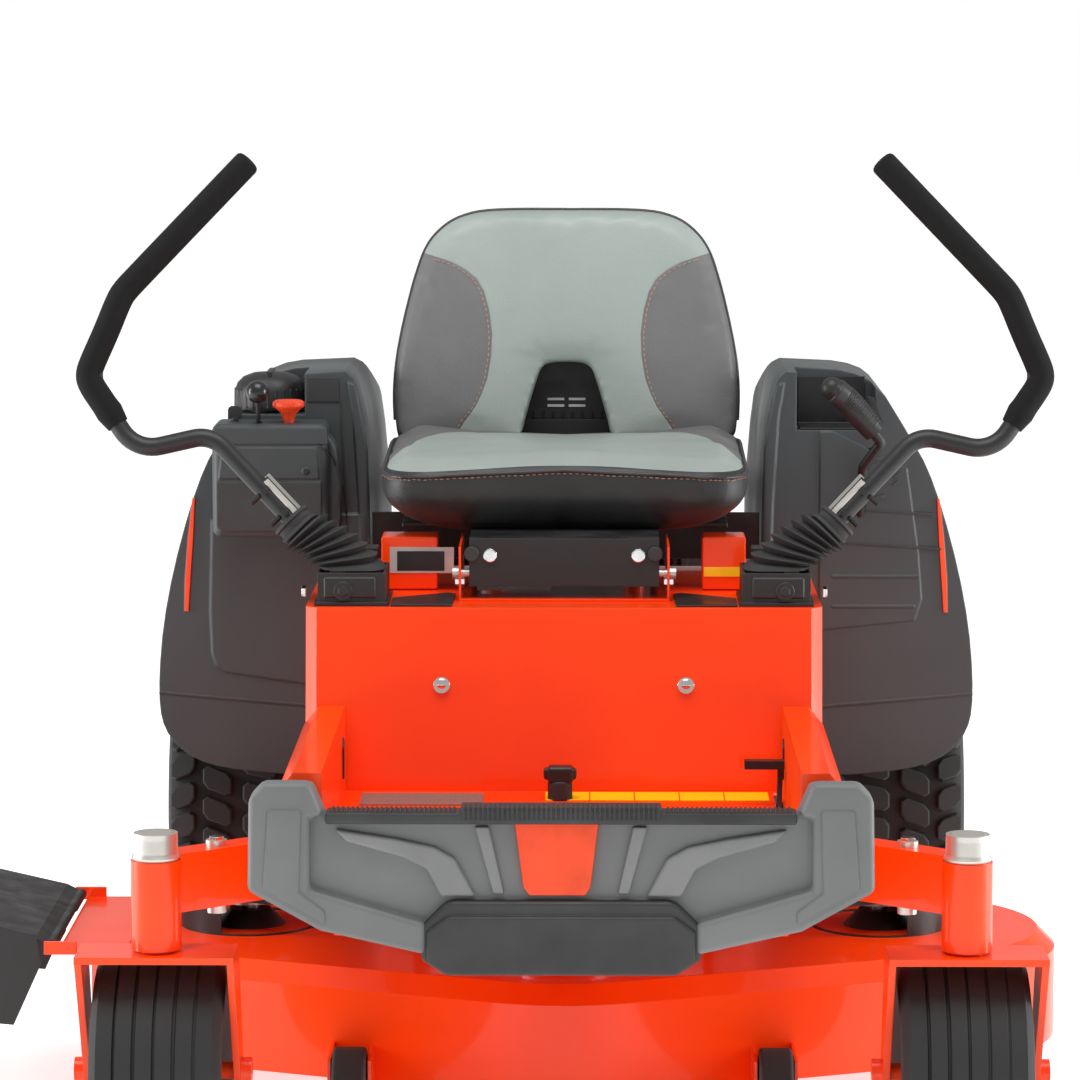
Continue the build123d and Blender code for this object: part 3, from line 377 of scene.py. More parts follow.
# base and shade are colour settings or codes; grain and mottle are pattern sizes in millimetres
RECIPES = {
    # baked enamel on sheet steel: a wet clear gloss with faint orange peel that bends reflections
    "orange_enamel": dict(base="orange", shade="orange_shade", mottle=260, rough=0.34, spread=0.05,
                          shine=0.22, coat=0.35, grain=2.6, depth=0.012, edge=1.6),
    # black enamel on bent tube: deep gloss with tight highlights along the bends
    "black_enamel": dict(base="enamel", shade="#0b0b0b", mottle=60, rough=0.13, spread=0.04,
                         shine=0.18, grain=2.0, depth=0.008, edge=1.2),
    # satin black enamel on brackets: dull sheen, dust in the corners
    "satin_black": dict(base="black", shade="#232323", mottle=45, rough=0.45, spread=0.12,
                        grain=1.2, depth=0.02, edge=1.2),
    # injection moulded polypropylene with a spark eroded texture: soft broad highlights
    "grey_plastic": dict(base="plastic", shade="#353a3b", mottle=180, rough=0.46, spread=0.08,
                         grain=0.9, depth=0.035, edge=3.0),
    # the same plastic in the lighter grey of the front cover
    "cover_plastic": dict(base="cover", shade="#686a6a", mottle=150, rough=0.5, spread=0.08,
                          grain=0.9, depth=0.035, edge=2.5),
    # the raised faces of the cover: a painted highlight, paler and a little smoother
    "cover_painted_highlight": dict(base="#7f8080", shade="#757676", mottle=120, rough=0.46,
                            spread=0.07, grain=0.9, depth=0.03, edge=2.5),
    # darker moulded inserts: slightly rougher so that they read as a second part; also thin dark
    # strips on the fenders as painted shade in creases, grooves and a recess
    "dark_plastic_and_painted_shade": dict(base="#333434", shade="#2a2a2a", mottle=90, rough=0.55, spread=0.1,
                         grain=0.9, depth=0.04, edge=2.0),
    # black moulded plastic: trays, housings and trims, a little scuffed; also flat black sheets in
    # slots and gaps as painted shade
    "black_plastic_and_painted_shade": dict(base="black", shade="#262626", mottle=35, rough=0.5, spread=0.15,
                          grain=1.0, depth=0.03, edge=1.2),
    # polished phenolic: a nearly mirror black ball
    "gloss_black": dict(base="#050505", shade="#101010", mottle=20, rough=0.07, spread=0.03,
                        coat=0.8, grain=3.0, depth=0.004),
    # coarse textured red orange knob plastic: visible speckle
    "knob_plastic": dict(base="knob", shade="#c22f06", mottle=1.8, rough=0.5, spread=0.15,
                         grain=1.6, depth=0.16),
    # carbon black tyre rubber: dull, greyed by dust, faint mould texture
    "tyre_rubber": dict(base="rubber", shade="#2d2c2a", mottle=40, rough=0.68, spread=0.14,
                        grain=1.4, depth=0.06, edge=1.0),
    # thin bellows rubber: a soft sheen with streaks
    "soft_rubber": dict(base="#1c1c1c", shade="#303030", mottle=14, rough=0.5, spread=0.16,
                        grain=2.2, depth=0.04),
    # closed cell foam: fine open pores and a chalky bloom, streaked along the bar
    "foam": dict(base="foam", shade="#1a1a1a", mottle=9, rough=0.85, spread=0.08, shine=0.2,
                 grain=0.7, depth=0.12),
    # zinc plate with a warm passivate: patchy grey gold that blurs reflections
    "zinc": dict(base="#c9c3b6", shade="#9c9486", mottle=9, rough=0.3, spread=0.14, metallic=1.0,
                 grain=1.5, depth=0.01, edge=0.8),
    # chromium plate: bright mirror with fine swirls
    "chrome": dict(base="#e6e6e6", shade="#d2d2d2", mottle=12, rough=0.1, spread=0.08,
                   metallic=1.0, grain=0.8, depth=0.003, edge=0.5),
    # sand cast aluminium: pebbled pale metal
    "cast_alloy": dict(base="#a9abac", shade="#85878a", mottle=22, rough=0.46, spread=0.14,
                       metallic=0.9, grain=1.3, depth=0.08, edge=1.2),
    # bare machined steel: fine directional lines and a little oil
    "bare_steel": dict(base="#8d8f91", shade="#6d6b68", mottle=16, rough=0.32, spread=0.14,
                       metallic=1.0, grain=0.9, depth=0.012, edge=0.8),
    # painted steel wheel disc in light grey
    "wheel_enamel": dict(base="#c9cac8", shade="#b4b4b0", mottle=60, rough=0.32, spread=0.08,
                         coat=0.2, grain=2.4, depth=0.012, edge=1.5),
    # embossed vinyl in the seam piping and the skirt
    "skirt_vinyl": dict(base="skirt", shade="#343434", mottle=70, rough=0.42, spread=0.1,
                        grain=2.0, depth=0.05, pebbles=True),
    # twisted polyester thread
    "thread": dict(base="thread", shade="#8d8a86", mottle=12, rough=0.7, spread=0.1,
                   grain=0.5, depth=0.05),
    # printed polyester labels with no printing on them
    "grey_label": dict(base="#b9bab6", shade="#a8a9a5", mottle=30, rough=0.35, spread=0.06,
                       grain=1.5, depth=0.006),
    "brown_label": dict(base="#8b6a60", shade="#6f544c", mottle=2.4, rough=0.7, spread=0.12,
                        grain=1.2, depth=0.1),
    "yellow_label": dict(base="yellow", shade="#f2c200", mottle=40, rough=0.35, spread=0.06,
                         grain=1.5, depth=0.006),
    # painted light: pale bars in the slots of the back shell stand for light passing through
    "slot_painted_light": dict(base="#e2e4e2", shade="#d2d4d2", mottle=30, rough=0.5, spread=0.05,
                         grain=1.0, depth=0.01),
    # orange reflector tape and trims, flatter than the enamel
    "orange_plastic": dict(base="orange", shade="#e04000", mottle=40, rough=0.36, spread=0.08,
                           grain=1.0, depth=0.02, edge=1.0),
}


def tint(value):
    """A colour setting by name, or a colour code, with its alpha."""
    if value.startswith("#"):
        return (*linear(value), 1.0)
    return (*getattr(bpy.context.scene.mower_colours, value), 1.0)


def noise(tree, coordinates, size_mm, detail=3.0):
    """A noise whose features are about size_mm across."""
    return add_node(tree, "ShaderNodeTexNoise",
                    {"Vector": coordinates, "Scale": 1 / (size_mm * MM), "Detail": detail,
                     "Roughness": 0.55})


def between(tree, factor, low, high):
    """A value running from low to high as a factor runs over a noise's usual range."""
    return add_node(tree, "ShaderNodeMapRange",
                    {"Value": factor, "From Min": 0.3, "From Max": 0.7, "To Min": low,
                     "To Max": high}).outputs["Result"]


def blended(tree, factor, first, second):
    """Two colours mixed by a factor."""
    mix = add_node(tree, "ShaderNodeMix", data_type="RGBA")
    sockets = (mix.inputs[0], mix.inputs[6], mix.inputs[7])
    for socket, value in zip(sockets, (factor, first, second)):
        if isinstance(value, bpy.types.NodeSocket):
            tree.links.new(value, socket)
        else:
            socket.default_value = value
    return mix.outputs[2]


def shader_parts(name, recipe):
    """A new material with the patterns that every recipe shares."""
    made = bpy.data.materials.new(name)
    made.use_nodes = True
    tree = made.node_tree
    tree.nodes.clear()
    place = add_node(tree, "ShaderNodeTexCoord").outputs["Object"]
    mottle = noise(tree, place, recipe["mottle"]).outputs["Fac"]
    grain = noise(tree, place, recipe["grain"], 2.0).outputs["Fac"]
    if recipe.get("pebbles"):
        grain = add_node(tree, "ShaderNodeTexVoronoi",
                         {"Vector": place, "Scale": 1 / (recipe["grain"] * MM), "Randomness": 0.9},
                         feature="SMOOTH_F1").outputs["Distance"]
    low, high = recipe["rough"] - recipe["spread"], recipe["rough"] + recipe["spread"]
    return {
        "material": made, "tree": tree, "place": place, "grain": grain,
        "mottle": between(tree, mottle, 0.0, 1.0),
        "rough": between(tree, mottle, max(low, 0.02), min(high, 1.0)),
    }


def close_shader(parts, recipe, base, height, depth):
    """Join a colour and a height to the material's surface."""
    tree = parts["tree"]
    bump = {"Height": height, "Strength": 1.0, "Distance": depth * MM}
    if recipe.get("edge"):
        bump["Normal"] = add_node(tree, "ShaderNodeBevel", {"Radius": recipe["edge"] * MM},
                                  samples=4).outputs["Normal"]
    normal = add_node(tree, "ShaderNodeBump", bump).outputs["Normal"]
    settings = {"Base Color": base, "Roughness": parts["rough"], "Normal": normal}
    if recipe.get("metallic"):
        settings["Metallic"] = recipe["metallic"]
    if recipe.get("shine"):
        settings["Specular IOR Level"] = recipe["shine"]
    if recipe.get("coat"):
        settings["Coat Weight"] = recipe["coat"]
        settings["Coat Roughness"] = 0.06
    surface = add_node(tree, "ShaderNodeBsdfPrincipled", settings)
    add_node(tree, "ShaderNodeOutputMaterial", {"Surface": surface.outputs["BSDF"]})
    return parts["material"]


def finish(name):
    """The material of that name, made the first time that it is asked for."""
    if name in bpy.data.materials:
        return bpy.data.materials[name]
    if name == "upholstery":
        return upholstery()
    recipe = RECIPES[name]
    parts = shader_parts(name, recipe)
    base = blended(parts["tree"], parts["mottle"], tint(recipe["base"]), tint(recipe["shade"]))
    return close_shader(parts, recipe, base, parts["grain"], recipe["depth"])


def upholstery():
    """Embossed vinyl in three colours: the panel and skirt attributes hold the distance to a seam.

    The eye gets a pebbled leather grain, soft creases, a light centre, darker bolsters and a black
    skirt, with a sunk line where two panels meet.
    """
    recipe = dict(mottle=120, grain=1.9, rough=0.47, spread=0.07, pebbles=True)
    parts = shader_parts("upholstery", recipe)
    tree, place = parts["tree"], parts["place"]
    panel = add_node(tree, "ShaderNodeAttribute", attribute_name="panel").outputs["Fac"]
    skirt = add_node(tree, "ShaderNodeAttribute", attribute_name="skirt").outputs["Fac"]
    past_panel, past_skirt = (
        add_node(tree, "ShaderNodeMath", {0: value, 1: 0.0}, operation="GREATER_THAN").outputs[0]
        for value in (panel, skirt))
    light = blended(tree, parts["mottle"], tint("vinyl"), tint("#8a938e"))
    grey = blended(tree, parts["mottle"], tint("bolster"), tint("#5e5e5e"))
    black = blended(tree, parts["mottle"], tint("skirt"), tint("#202020"))
    base = blended(tree, past_skirt, blended(tree, past_panel, light, grey), black)
    crease = noise(tree, place, 26, 4.0).outputs["Fac"]
    groove = add_node(tree, "ShaderNodeMath", {0: panel}, operation="ABSOLUTE").outputs[0]
    groove = add_node(tree, "ShaderNodeMapRange", {"Value": groove, "From Min": 0.0,
                      "From Max": 3.0, "To Min": -2.2, "To Max": 0.0},
                      interpolation_type="SMOOTHSTEP").outputs["Result"]
    height = add_node(tree, "ShaderNodeMath", {0: crease, 1: 3.2, 2: parts["grain"]},
                      operation="MULTIPLY_ADD").outputs[0]
    height = add_node(tree, "ShaderNodeMath", {0: height, 1: groove}, operation="ADD").outputs[0]
    return close_shader(parts, recipe, base, height, 0.2)


NODE_FINISHES = {
    "orange_enamel": ("main_frame", "caster_arms", "footwell", "seat_box", "seat_bracket",
                      "deck_shell", "caster_fork_right", "caster_fork_left"),
    "grey_plastic": ("fender_right", "fender_left", "control_console"),
    "cover_plastic": ("front_cover",),
    "black_plastic_and_painted_shade": ("fuel_tank", "blower_housing", "air_cleaner", "battery", "belt_covers",
                      "discharge_chute", "lever_housings", "height_knob", "fuel_cap",
                      "ignition_key"),
    "black_enamel": ("lap_bar_right", "lap_bar_left", "engine_guard", "lift_pedal",
                     "throttle_lever", "brake_lever"),
    "satin_black": ("seat_frame", "seat_pan", "muffler", "spindle_housings"),
    "cast_alloy": ("engine_block", "transaxles"),
    "bare_steel": ("crank_pulley", "pump_pulley_right", "pump_pulley_left", "blade_right",
                   "blade_centre", "blade_left"),
    "zinc": ("fasteners", "control_post_right", "control_post_left"),
    "soft_rubber": ("lever_boot_right", "lever_boot_left", "deck_belt", "drive_belt"),
    "tyre_rubber": ("rear_tyre_right", "rear_tyre_left", "caster_wheel_right",
                    "caster_wheel_left", "scalp_wheel_right", "scalp_wheel_left"),
    "wheel_enamel": ("rear_rim_right", "rear_rim_left"),
    "foam": ("bar_grip_right", "bar_grip_left"),
    "skirt_vinyl": ("seat_cushion", "seat_backrest"),
    "knob_plastic": ("clutch_knob",),
}


class MOWER_OT_finishes(bpy.types.Operator):
    """Give every CAD node its material"""
    bl_idname = "mower.finishes"
    bl_label = "Finishes"

    def execute(self, context):
        """Fill the material slots of the nodes."""
        finished = {node: name for name, nodes in NODE_FINISHES.items() for node in nodes}
        missing = set(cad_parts) - set(finished)
        if missing:
            raise RuntimeError(f"no finish is given for {sorted(missing)}")
        for node, name in finished.items():
            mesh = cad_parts[node].data
            mesh.materials.clear()
            mesh.materials.append(finish(name))
        return {"FINISHED"}


# ---------------------------------------------------------------- wheels
TYRE_X, TYRE_R, TYRE_W = 415.0, 254.0, 254.0
CARCASS = [(-84, 106), (-100, 104.9), (-110, 116), (-119, 150), (-126, 190), (-126.5, 212),
           (-121, 230), (-108, 239), (-80, 242.5), (-40, 244), (0, 244.4), (40, 244), (80, 242.5),
           (108, 239), (121, 230), (126.5, 212), (126, 190), (119, 150), (110, 116),
           (100, 104.9), (84, 106), (88, 150), (0, 232), (-88, 150)]
LUG_ROWS = [(-104, 34, 0.0), (-57, 40, 0.5), (0, 46, 0.0), (57, 40, 0.5), (104, 34, 0.0)]


def lug(centre, width, pitch, turn, height, slant):
    """One tread block: a slanted eight sided pad with a chamfered top, closed below."""
    half_long, half_wide, cut = pitch * 0.39, width / 2, 7.0
    corners = [(-half_wide + cut, -half_long), (half_wide - cut, -half_long),
               (half_wide, -half_long + cut), (half_wide, half_long - cut),
               (half_wide - cut, half_long), (-half_wide + cut, half_long),
               (-half_wide, half_long - cut), (-half_wide, -half_long + cut)]
    rings = []
    for level, shrink in ((-5.0, 1.0), (height - 2.0, 0.97), (height, 0.86)):
        ring = []
        for across, around in corners:
            x = centre + across * shrink
            drop = 7.5 * max(0.0, (abs(x) - 60) / 62) ** 2.2
            radius = TYRE_R - 11.0 + level - drop
            angle = turn + (around * shrink + across * slant) / TYRE_R
            ring.append((x, radius * math.cos(angle), radius * math.sin(angle)))
        rings.append(ring)
    return loft(rings)


class MOWER_OT_rear_wheels(bpy.types.Operator):
    """Build the two driven wheels with their block treads"""
    bl_idname = "mower.rear_wheels"
    bl_label = "Rear wheels"

    def execute(self, context):
        """Turn the carcass, set the blocks round it and dish the disc."""
        sizes = context.scene.mower_wheels
        pitch = math.tau / sizes.lug_rows
        for side, sign in SIDES.items():
            centre = (sign * TYRE_X, 0, TYRE_R)
            tyre = lathe(CARCASS, (0, 0, 0), steps=72)
            for row, (across, width, shift) in enumerate(LUG_ROWS):
                for step in range(sizes.lug_rows):
                    slant = 0.35 if row % 2 else -0.35
                    add(tyre, lug(across, width, pitch * TYRE_R, pitch * (step + shift),
                                  sizes.lug_height / MM, slant if across else 0.2))
            for bead in (-1, 1):
                add(tyre, lathe([(bead * 112, 128), (bead * 117, 128.5), (bead * 119, 132),
                                 (bead * 116, 135), (bead * 112, 134)], (0, 0, 0), steps=72))
            bmesh.ops.translate(tyre, verts=tyre.verts, vec=centre)
            piece(f"tyre_rear_{side}", tyre, f"rear_wheel_{side}", ["tyre_rubber"],
                  [f"rear_tyre_{side}"], angle=30)
            rim = lathe([(-101, 104.7), (-101, 111), (-96, 113), (-93, 104.7), (93, 104.7),
                         (96, 113), (101, 111), (101, 104.7), (97, 101), (92, 96), (60, 90),
                         (34, 84), (26, 70), (24, 34), (14, 34), (16, 70), (26, 90),
                         (-92, 96), (-97, 101)], centre, steps=64)
            outer = sign * 26
            hub = sign * TYRE_X + outer
            for step in range(5):
                angle = math.tau * step / 5
                spot = (57 * math.cos(angle), TYRE_R + 57 * math.sin(angle))
                add(rim, rod((hub - sign * 6, *spot), (hub + sign * 12, *spot), 10.5, steps=6,
                             bevel=1.0), 1)
            add(rim, lathe([(0, 0), (0, 37), (sign * 8, 37), (sign * 14, 32), (sign * 20, 20),
                            (sign * 22, 0)], (hub, 0, TYRE_R), steps=40), 1)
            piece(f"wheel_disc_{side}", rim, f"rear_wheel_{side}", ["wheel_enamel", "zinc"],
                  [f"rear_rim_{side}"])
        return {"FINISHED"}


CASTER_PIVOT = (458.0, -1250.0)
CASTER_AXLE = (-1182.0, 140.0)


class MOWER_OT_casters(bpy.types.Operator):
    """Build the front caster tyres, their discs and the caps over the swivels"""
    bl_idname = "mower.casters"
    bl_label = "Casters"

    def execute(self, context):
        """Turn the ribbed tyre, the disc and the dust cap of each side."""
        rib = context.scene.mower_wheels.caster_rib / MM
        for side, sign in SIDES.items():
            centre = (sign * CASTER_PIVOT[0], *CASTER_AXLE)
            crown = []
            for place in (-56, -34, -11, 11, 34, 56):
                top = 139.5 - abs(place) ** 2 / 700
                crown += [(place - 9, top), (place + 9, top), (place + 10.5, top - rib),
                          (place + 12.5, top - rib)]
            profile = [(-46, 66), (-62, 68), (-70, 84), (-75.5, 108), (-73, 126)] + crown[:-2]
            profile += [(73, 126), (75.5, 108), (70, 84), (62, 68), (46, 66)]
            tyre = lathe(profile, centre, steps=72)
            add(tyre, lathe([(-47, 62), (-47, 68), (-43, 68), (43, 68), (47, 68), (47, 62),
                             (40, 58), (10, 50), (8, 30), (-8, 30), (-10, 50), (-40, 58)],
                            centre, steps=48), 1)
            add(tyre, lathe([(-60, 14), (-60, 26), (-56, 28), (56, 28), (60, 26), (60, 14)],
                            centre, steps=32), 2)
            piece(f"caster_tyre_{side}", tyre, f"roller_{side}",
                  ["tyre_rubber", "wheel_enamel", "bare_steel"], [f"caster_wheel_{side}"])
            cap = lathe([(399.2, 0), (399.2, 26.2), (403, 27.6), (406, 26.2), (408, 25.2),
                         (424, 25), (428.5, 23.6), (430.6, 20.5), (430.4, 17), (429.2, 13),
                         (428.8, 0)], (sign * CASTER_PIVOT[0], CASTER_PIVOT[1], 0), "Z", 48)
            piece(f"dust_cap_{side}", cap, "root", ["zinc"])
        return {"FINISHED"}


# ---------------------------------------------------------------- seat
def superellipse(centre_y, half_x, half_y, power, count=96):
    """Points (X, Y) round a rounded rectangle."""
    points = []
    for step in range(count):
        turn = math.tau * step / count
        c, s = math.cos(turn), math.sin(turn)
        points.append((math.copysign(abs(c) ** (2 / power), c) * half_x,
                       centre_y + math.copysign(abs(s) ** (2 / power), s) * half_y))
    return points


CUSHION_RINGS = [(702, 150, 172), (706, 174, 192), (716, 206, 214), (730, 230, 230),
                 (742, 238, 236), (758, 240.5, 237), (769, 240, 236.5), (776, 237, 234),
                 (781, 226, 224), (784, 204, 204), (785.5, 154, 160), (786, 92, 100),
                 (786, 28, 34)]
CUSHION_MIDDLE = -401.0
CUSHION_SEAM_Z = 776.0


def clamp(value):
    """A value held between nought and one."""
    return max(0.0, min(1.0, value))


def cushion_rise(x, y):
    """How much the cushion's upper edge climbs: mid front, and at the two rear corners."""
    front = clamp((-440 - y) / 170)
    rear = clamp((y + 430) / 140)
    crown = 11.0 * math.cos(clamp(abs(x) / 210) * math.pi / 2) ** 2
    corner = 12.0 * clamp((abs(x) - 130) / 90)
    dip = 7.0 * (1 - clamp(abs(x) / 175))
    return front * (crown - 2.0) + rear * (corner - dip)


def cushion_shape():
    """The cushion before it swells."""
    rings = []
    for z, half_x, half_y in CUSHION_RINGS:
        share = max(0.0, (z - 745) / 41)
        rings.append([(x, y, z + share * cushion_rise(x, y))
                      for x, y in superellipse(CUSHION_MIDDLE, half_x, half_y, 7.5)])
    return loft(rings)


def between_rows(rows, value):
    """Straight line reading of a table of (place, reading) rows."""
    for (low, first), (high, second) in zip(rows, rows[1:]):
        if value <= high:
            share = max(0.0, (value - low) / (high - low))
            return first + (second - first) * share
    return rows[-1][1]


CUSHION_BOLSTER = [(-640, 262), (-600, 252), (-560, 243), (-500, 229), (-430, 208), (-360, 184),
                   (-300, 156), (-262, 122), (-240, 74), (-228, 0)]
BACK_BOLSTER = [(780, 150), (800, 138), (822, 122), (838, 114), (860, 106), (890, 101),
                (920, 100), (950, 104), (975, 111), (992, 121), (1004, 136), (1014, 155),
                (1022, 180), (1030, 215), (1050, 300)]


def cushion_seams(point):
    """Distances past the bolster seam and past the skirt seam, in millimetres."""
    panel = abs(point.x) - between_rows(CUSHION_BOLSTER, point.y)
    skirt = CUSHION_SEAM_Z + cushion_rise(point.x, point.y) * 0.8 - point.z
    return panel, skirt


def back_front(z):
    """Y of the backrest's front face at a height."""
    return -225 + (z - 800) / 290 * 75


def back_seams(point):
    """Distances past the bolster seam and past the piping of the backrest."""
    panel = abs(point.x) - between_rows(BACK_BOLSTER, point.z)
    skirt = point.y - (back_front(point.z) + 24)
    return panel, skirt


def backrest_shape():
    """The backrest before it swells: wide hips, a rounded top and an arch at its foot."""
    sides = [(-236, 779), (-240, 800), (-241, 860), (-232, 920), (-212, 1000), (-190, 1054),
             (-144, 1084), (-82, 1090), (82, 1090), (144, 1084), (190, 1054), (212, 1000),
             (232, 920), (241, 860), (240, 800), (236, 779)]
    rim = [tuple(point) for point in smoothed(sides, 2)]
    vent = [tuple(point) for point in smoothed([(64, 779), (60, 800), (38, 862), (26, 874),
                                                (-26, 874), (-38, 862), (-60, 800), (-64, 779)], 2)]
    rings = []
    for depth, shrink in ((2, 0.955), (5, 0.975), (14, 0.99), (40, 0.99), (62, 0.96), (68, 0.93)):
        ring = [(x * shrink, back_front(z) + depth, 930 + (z - 930) * shrink) for x, z in rim]
        ring += [(x * (2 - shrink), back_front(z) + depth, z) for x, z in vent]
        rings.append(ring)
    shape = loft(rings)
    bmesh.ops.triangulate(shape, faces=shape.faces)
    return shape


CLOTH_FRAMES = 20


def padded_piece(name, shape, body, node, seams):
    """Swell a shape with a short cloth simulation and mark its seams."""
    sizes = bpy.context.scene.mower_seat
    bmesh.ops.triangulate(shape, faces=shape.faces)
    made = piece(name, shape, None, ["upholstery"])
    bpy.context.view_layer.objects.active = made
    made.select_set(True)
    remesh = made.modifiers.new("remesh", "REMESH")
    remesh.mode = "VOXEL"
    remesh.voxel_size = sizes.voxel
    bpy.ops.object.modifier_apply(modifier=remesh.name)
    swell(made, sizes)
    soften = made.modifiers.new("soften", "SMOOTH")
    soften.iterations = 3
    soften.factor = 0.5
    bpy.ops.object.modifier_apply(modifier=soften.name)
    fine = made.modifiers.new("fine", "SUBSURF")
    fine.levels = fine.render_levels = 1
    bpy.ops.object.modifier_apply(modifier=fine.name)
    made.select_set(False)
    to_mm = PLACE.inverted()
    readings = [seams(to_mm @ vertex.co) for vertex in made.data.vertices]
    for index, attribute in enumerate(("panel", "skirt")):
        layer = made.data.attributes.new(attribute, "FLOAT", "POINT")
        layer.data.foreach_set("value", [reading[index] for reading in readings])
    made.data.materials.clear()
    made.data.materials.append(finish("upholstery"))
    made.data.shade_smooth()
    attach(made, body)
    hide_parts(node)
    return made


def swell(made, sizes):
    """Blow the padding up inside its cover, no point moving more than the swell."""
    before = [vertex.co.copy() for vertex in made.data.vertices]
    cloth = made.modifiers.new("cloth", "CLOTH")
    settings = cloth.settings
    settings.use_pressure = True
    settings.uniform_pressure_force = sizes.pressure
    settings.tension_stiffness = 12
    settings.bending_stiffness = 0.6
    settings.effector_weights.gravity = 0.0
    cloth.point_cache.frame_start, cloth.point_cache.frame_end = 1, CLOTH_FRAMES
    scene = bpy.context.scene
    for step in range(1, CLOTH_FRAMES + 1):
        scene.frame_set(step)
    bpy.ops.object.modifier_apply(modifier=cloth.name)
    scene.frame_set(1)
    for vertex, start in zip(made.data.vertices, before):
        move = vertex.co - start
        if move.length > sizes.swell:
            vertex.co = start + move * (sizes.swell / move.length)


def surface_of(made):
    """A search tree over a finished piece, in millimetres."""
    shape = bmesh.new()
    shape.from_mesh(made.data)
    bmesh.ops.transform(shape, verts=shape.verts, matrix=PLACE.inverted())
    tree = BVHTree.FromBMesh(shape)
    shape.free()
    return tree


def laid(tree, points, lift):
    """The points put onto a surface and lifted off it along its normal."""
    spots = []
    for point in points:
        place, normal, _, _ = tree.find_nearest(Vector(point))
        spots.append(place + normal * lift)
    return spots


def even(points, gap):
    """Points an even distance apart along a line."""
    spots, left = [points[0].copy()], gap
    for a, b in zip(points, points[1:]):
        run = (b - a).length
        done = 0.0
        while run - done >= left:
            done += left
            spots.append(a.lerp(b, done / run))
            left = gap
        left -= run - done
    return spots


def stitches(name, tree, line, body, length_mm):
    """A row of short threads lying along a seam."""
    spots = laid(tree, even(line, length_mm * 1.55), 0.25)
    row = bmesh.new()
    for a, b in zip(spots, spots[1:]):
        run = (b - a).normalized() * length_mm * 0.5
        add(row, tube([a - run, a - run * 0.5, a + run * 0.5, a + run], 0.8, 6,
                      radii=[0.35, 0.85, 0.85, 0.35]))
    return piece(name, row, body, ["thread"])


def back_seam_line(sign, shift=0.0):
    """Where the bolster seam runs on the front of the backrest."""
    heights = [790 + step * 6 for step in range(41)]
    return [Vector((sign * (between_rows(BACK_BOLSTER, z) + shift), back_front(z) - 12, z))
            for z in heights if between_rows(BACK_BOLSTER, z) < 208]


BACK_EDGE = [(-241, 802), (-243, 860), (-234, 920), (-210, 1008), (-184, 1060), (-122, 1092),
             (0, 1094), (122, 1092), (184, 1060), (210, 1008), (234, 920), (243, 860), (241, 802)]


class MOWER_OT_seat(bpy.types.Operator):
    """Build the seat's padded cushion and backrest, with their piping and stitching"""
    bl_idname = "mower.seat"
    bl_label = "Seat"

    def execute(self, context):
        """Swell both pads, then lay the seams on them."""
        sizes = context.scene.mower_seat
        piping, stitch = sizes.piping / MM, sizes.stitch / MM
        cushion = padded_piece("cushion_pad", cushion_shape(), "seat", "seat_cushion",
                               cushion_seams)
        tree = surface_of(cushion)
        rim = [(x, y, CUSHION_SEAM_Z + cushion_rise(x, y) * 0.8)
               for x, y in superellipse(CUSHION_MIDDLE, 247, 243, 7.5, 200)]
        piece("cushion_piping", tube(laid(tree, rim, 0.4), piping, 10, closed=True), "seat",
              ["skirt_vinyl"])
        line = [Vector((x, y, z - 6.5)) for x, y, z in rim if y < -560]
        line = sorted(line, key=lambda spot: spot.x)
        stitches("cushion_stitching", tree, line, "seat", stitch)
        back = padded_piece("back_pad", backrest_shape(), "seat", "seat_backrest", back_seams)
        tree = surface_of(back)
        edge = smoothed([(x, back_front(z) + 22, z) for x, z in BACK_EDGE], 3)
        piece("back_piping", tube(laid(tree, edge, 0.3), piping, 10), "seat", ["skirt_vinyl"])
        for side, sign in SIDES.items():
            stitches(f"back_stitching_{side}", tree, back_seam_line(sign, 4.0), "seat", stitch)
        self.vent()
        self.pan()
        return {"FINISHED"}

    def pan(self):
        """The pressed pan under the cushion and the stay behind the back."""
        pan = block((-158, 158), (-570, -150), (700, 704.5), 1.5)
        add(pan, block((-200, 200), (-158, -150), (702, 800), 2.0))
        for sign in (-1, 1):
            add(pan, block(limits(sign, 185, 200), (-151, -120), (702, 800), 2.0))
            add(pan, block(limits(sign, 120, 208), (-540, -330), (695, 702), 2.0))
        piece("seat_tray", pan, "seat", ["satin_black"], ["seat_pan"])

    def vent(self):
        """The slotted plate seen through the opening at the foot of the backrest."""
        plate = block((-78, 78), (-152, -149), (800, 880), 0.8)
        # pale bars in the two upper slots: painted light passing through
        for height in (816, 825):
            for sign in (-1, 1):
                add(plate, block(limits(sign, 3, 26), (-153.4, -151.5), (height, height + 3.4),
                                 0.4), 1)
        for step in range(9):
            add(plate, block((-58 + step * 13, -56 + step * 13), (-156, -151), (800, 810), 0.3))
        piece("back_vent", plate, "seat", ["black_plastic_and_painted_shade", "slot_painted_light"])


# ---------------------------------------------------------------- fenders and console
# front view of the left fender, from its inner edge over the top and down the outer edge
FENDER_FACE = [(258, 400), (258, 400), (258, 775), (275, 866), (291, 879), (291, 879), (405, 872),
               (447, 805), (487, 736), (531, 575), (543, 443), (530, 389), (480, 352), (378, 342),
               (378, 342), (258, 342), (258, 342)]
FENDER_Y = -340.0
# side view of what is cut away above the fender
FENDER_TOP = [(-130, 905), (-120, 885), (120, 820), (300, 640), (320, 640), (320, 905)]


# front views of the coloured strip let into the fender and of its raised panel
FENDER_STRIPE = [(490, 712), (493.5, 711), (499.5, 657), (504, 603), (505, 560), (500, 560),
                 (497, 603), (493, 657)]
FENDER_PANEL = [(262, 692), (469, 684), (472, 560), (470, 502), (464, 486), (451, 478), (262, 450)]


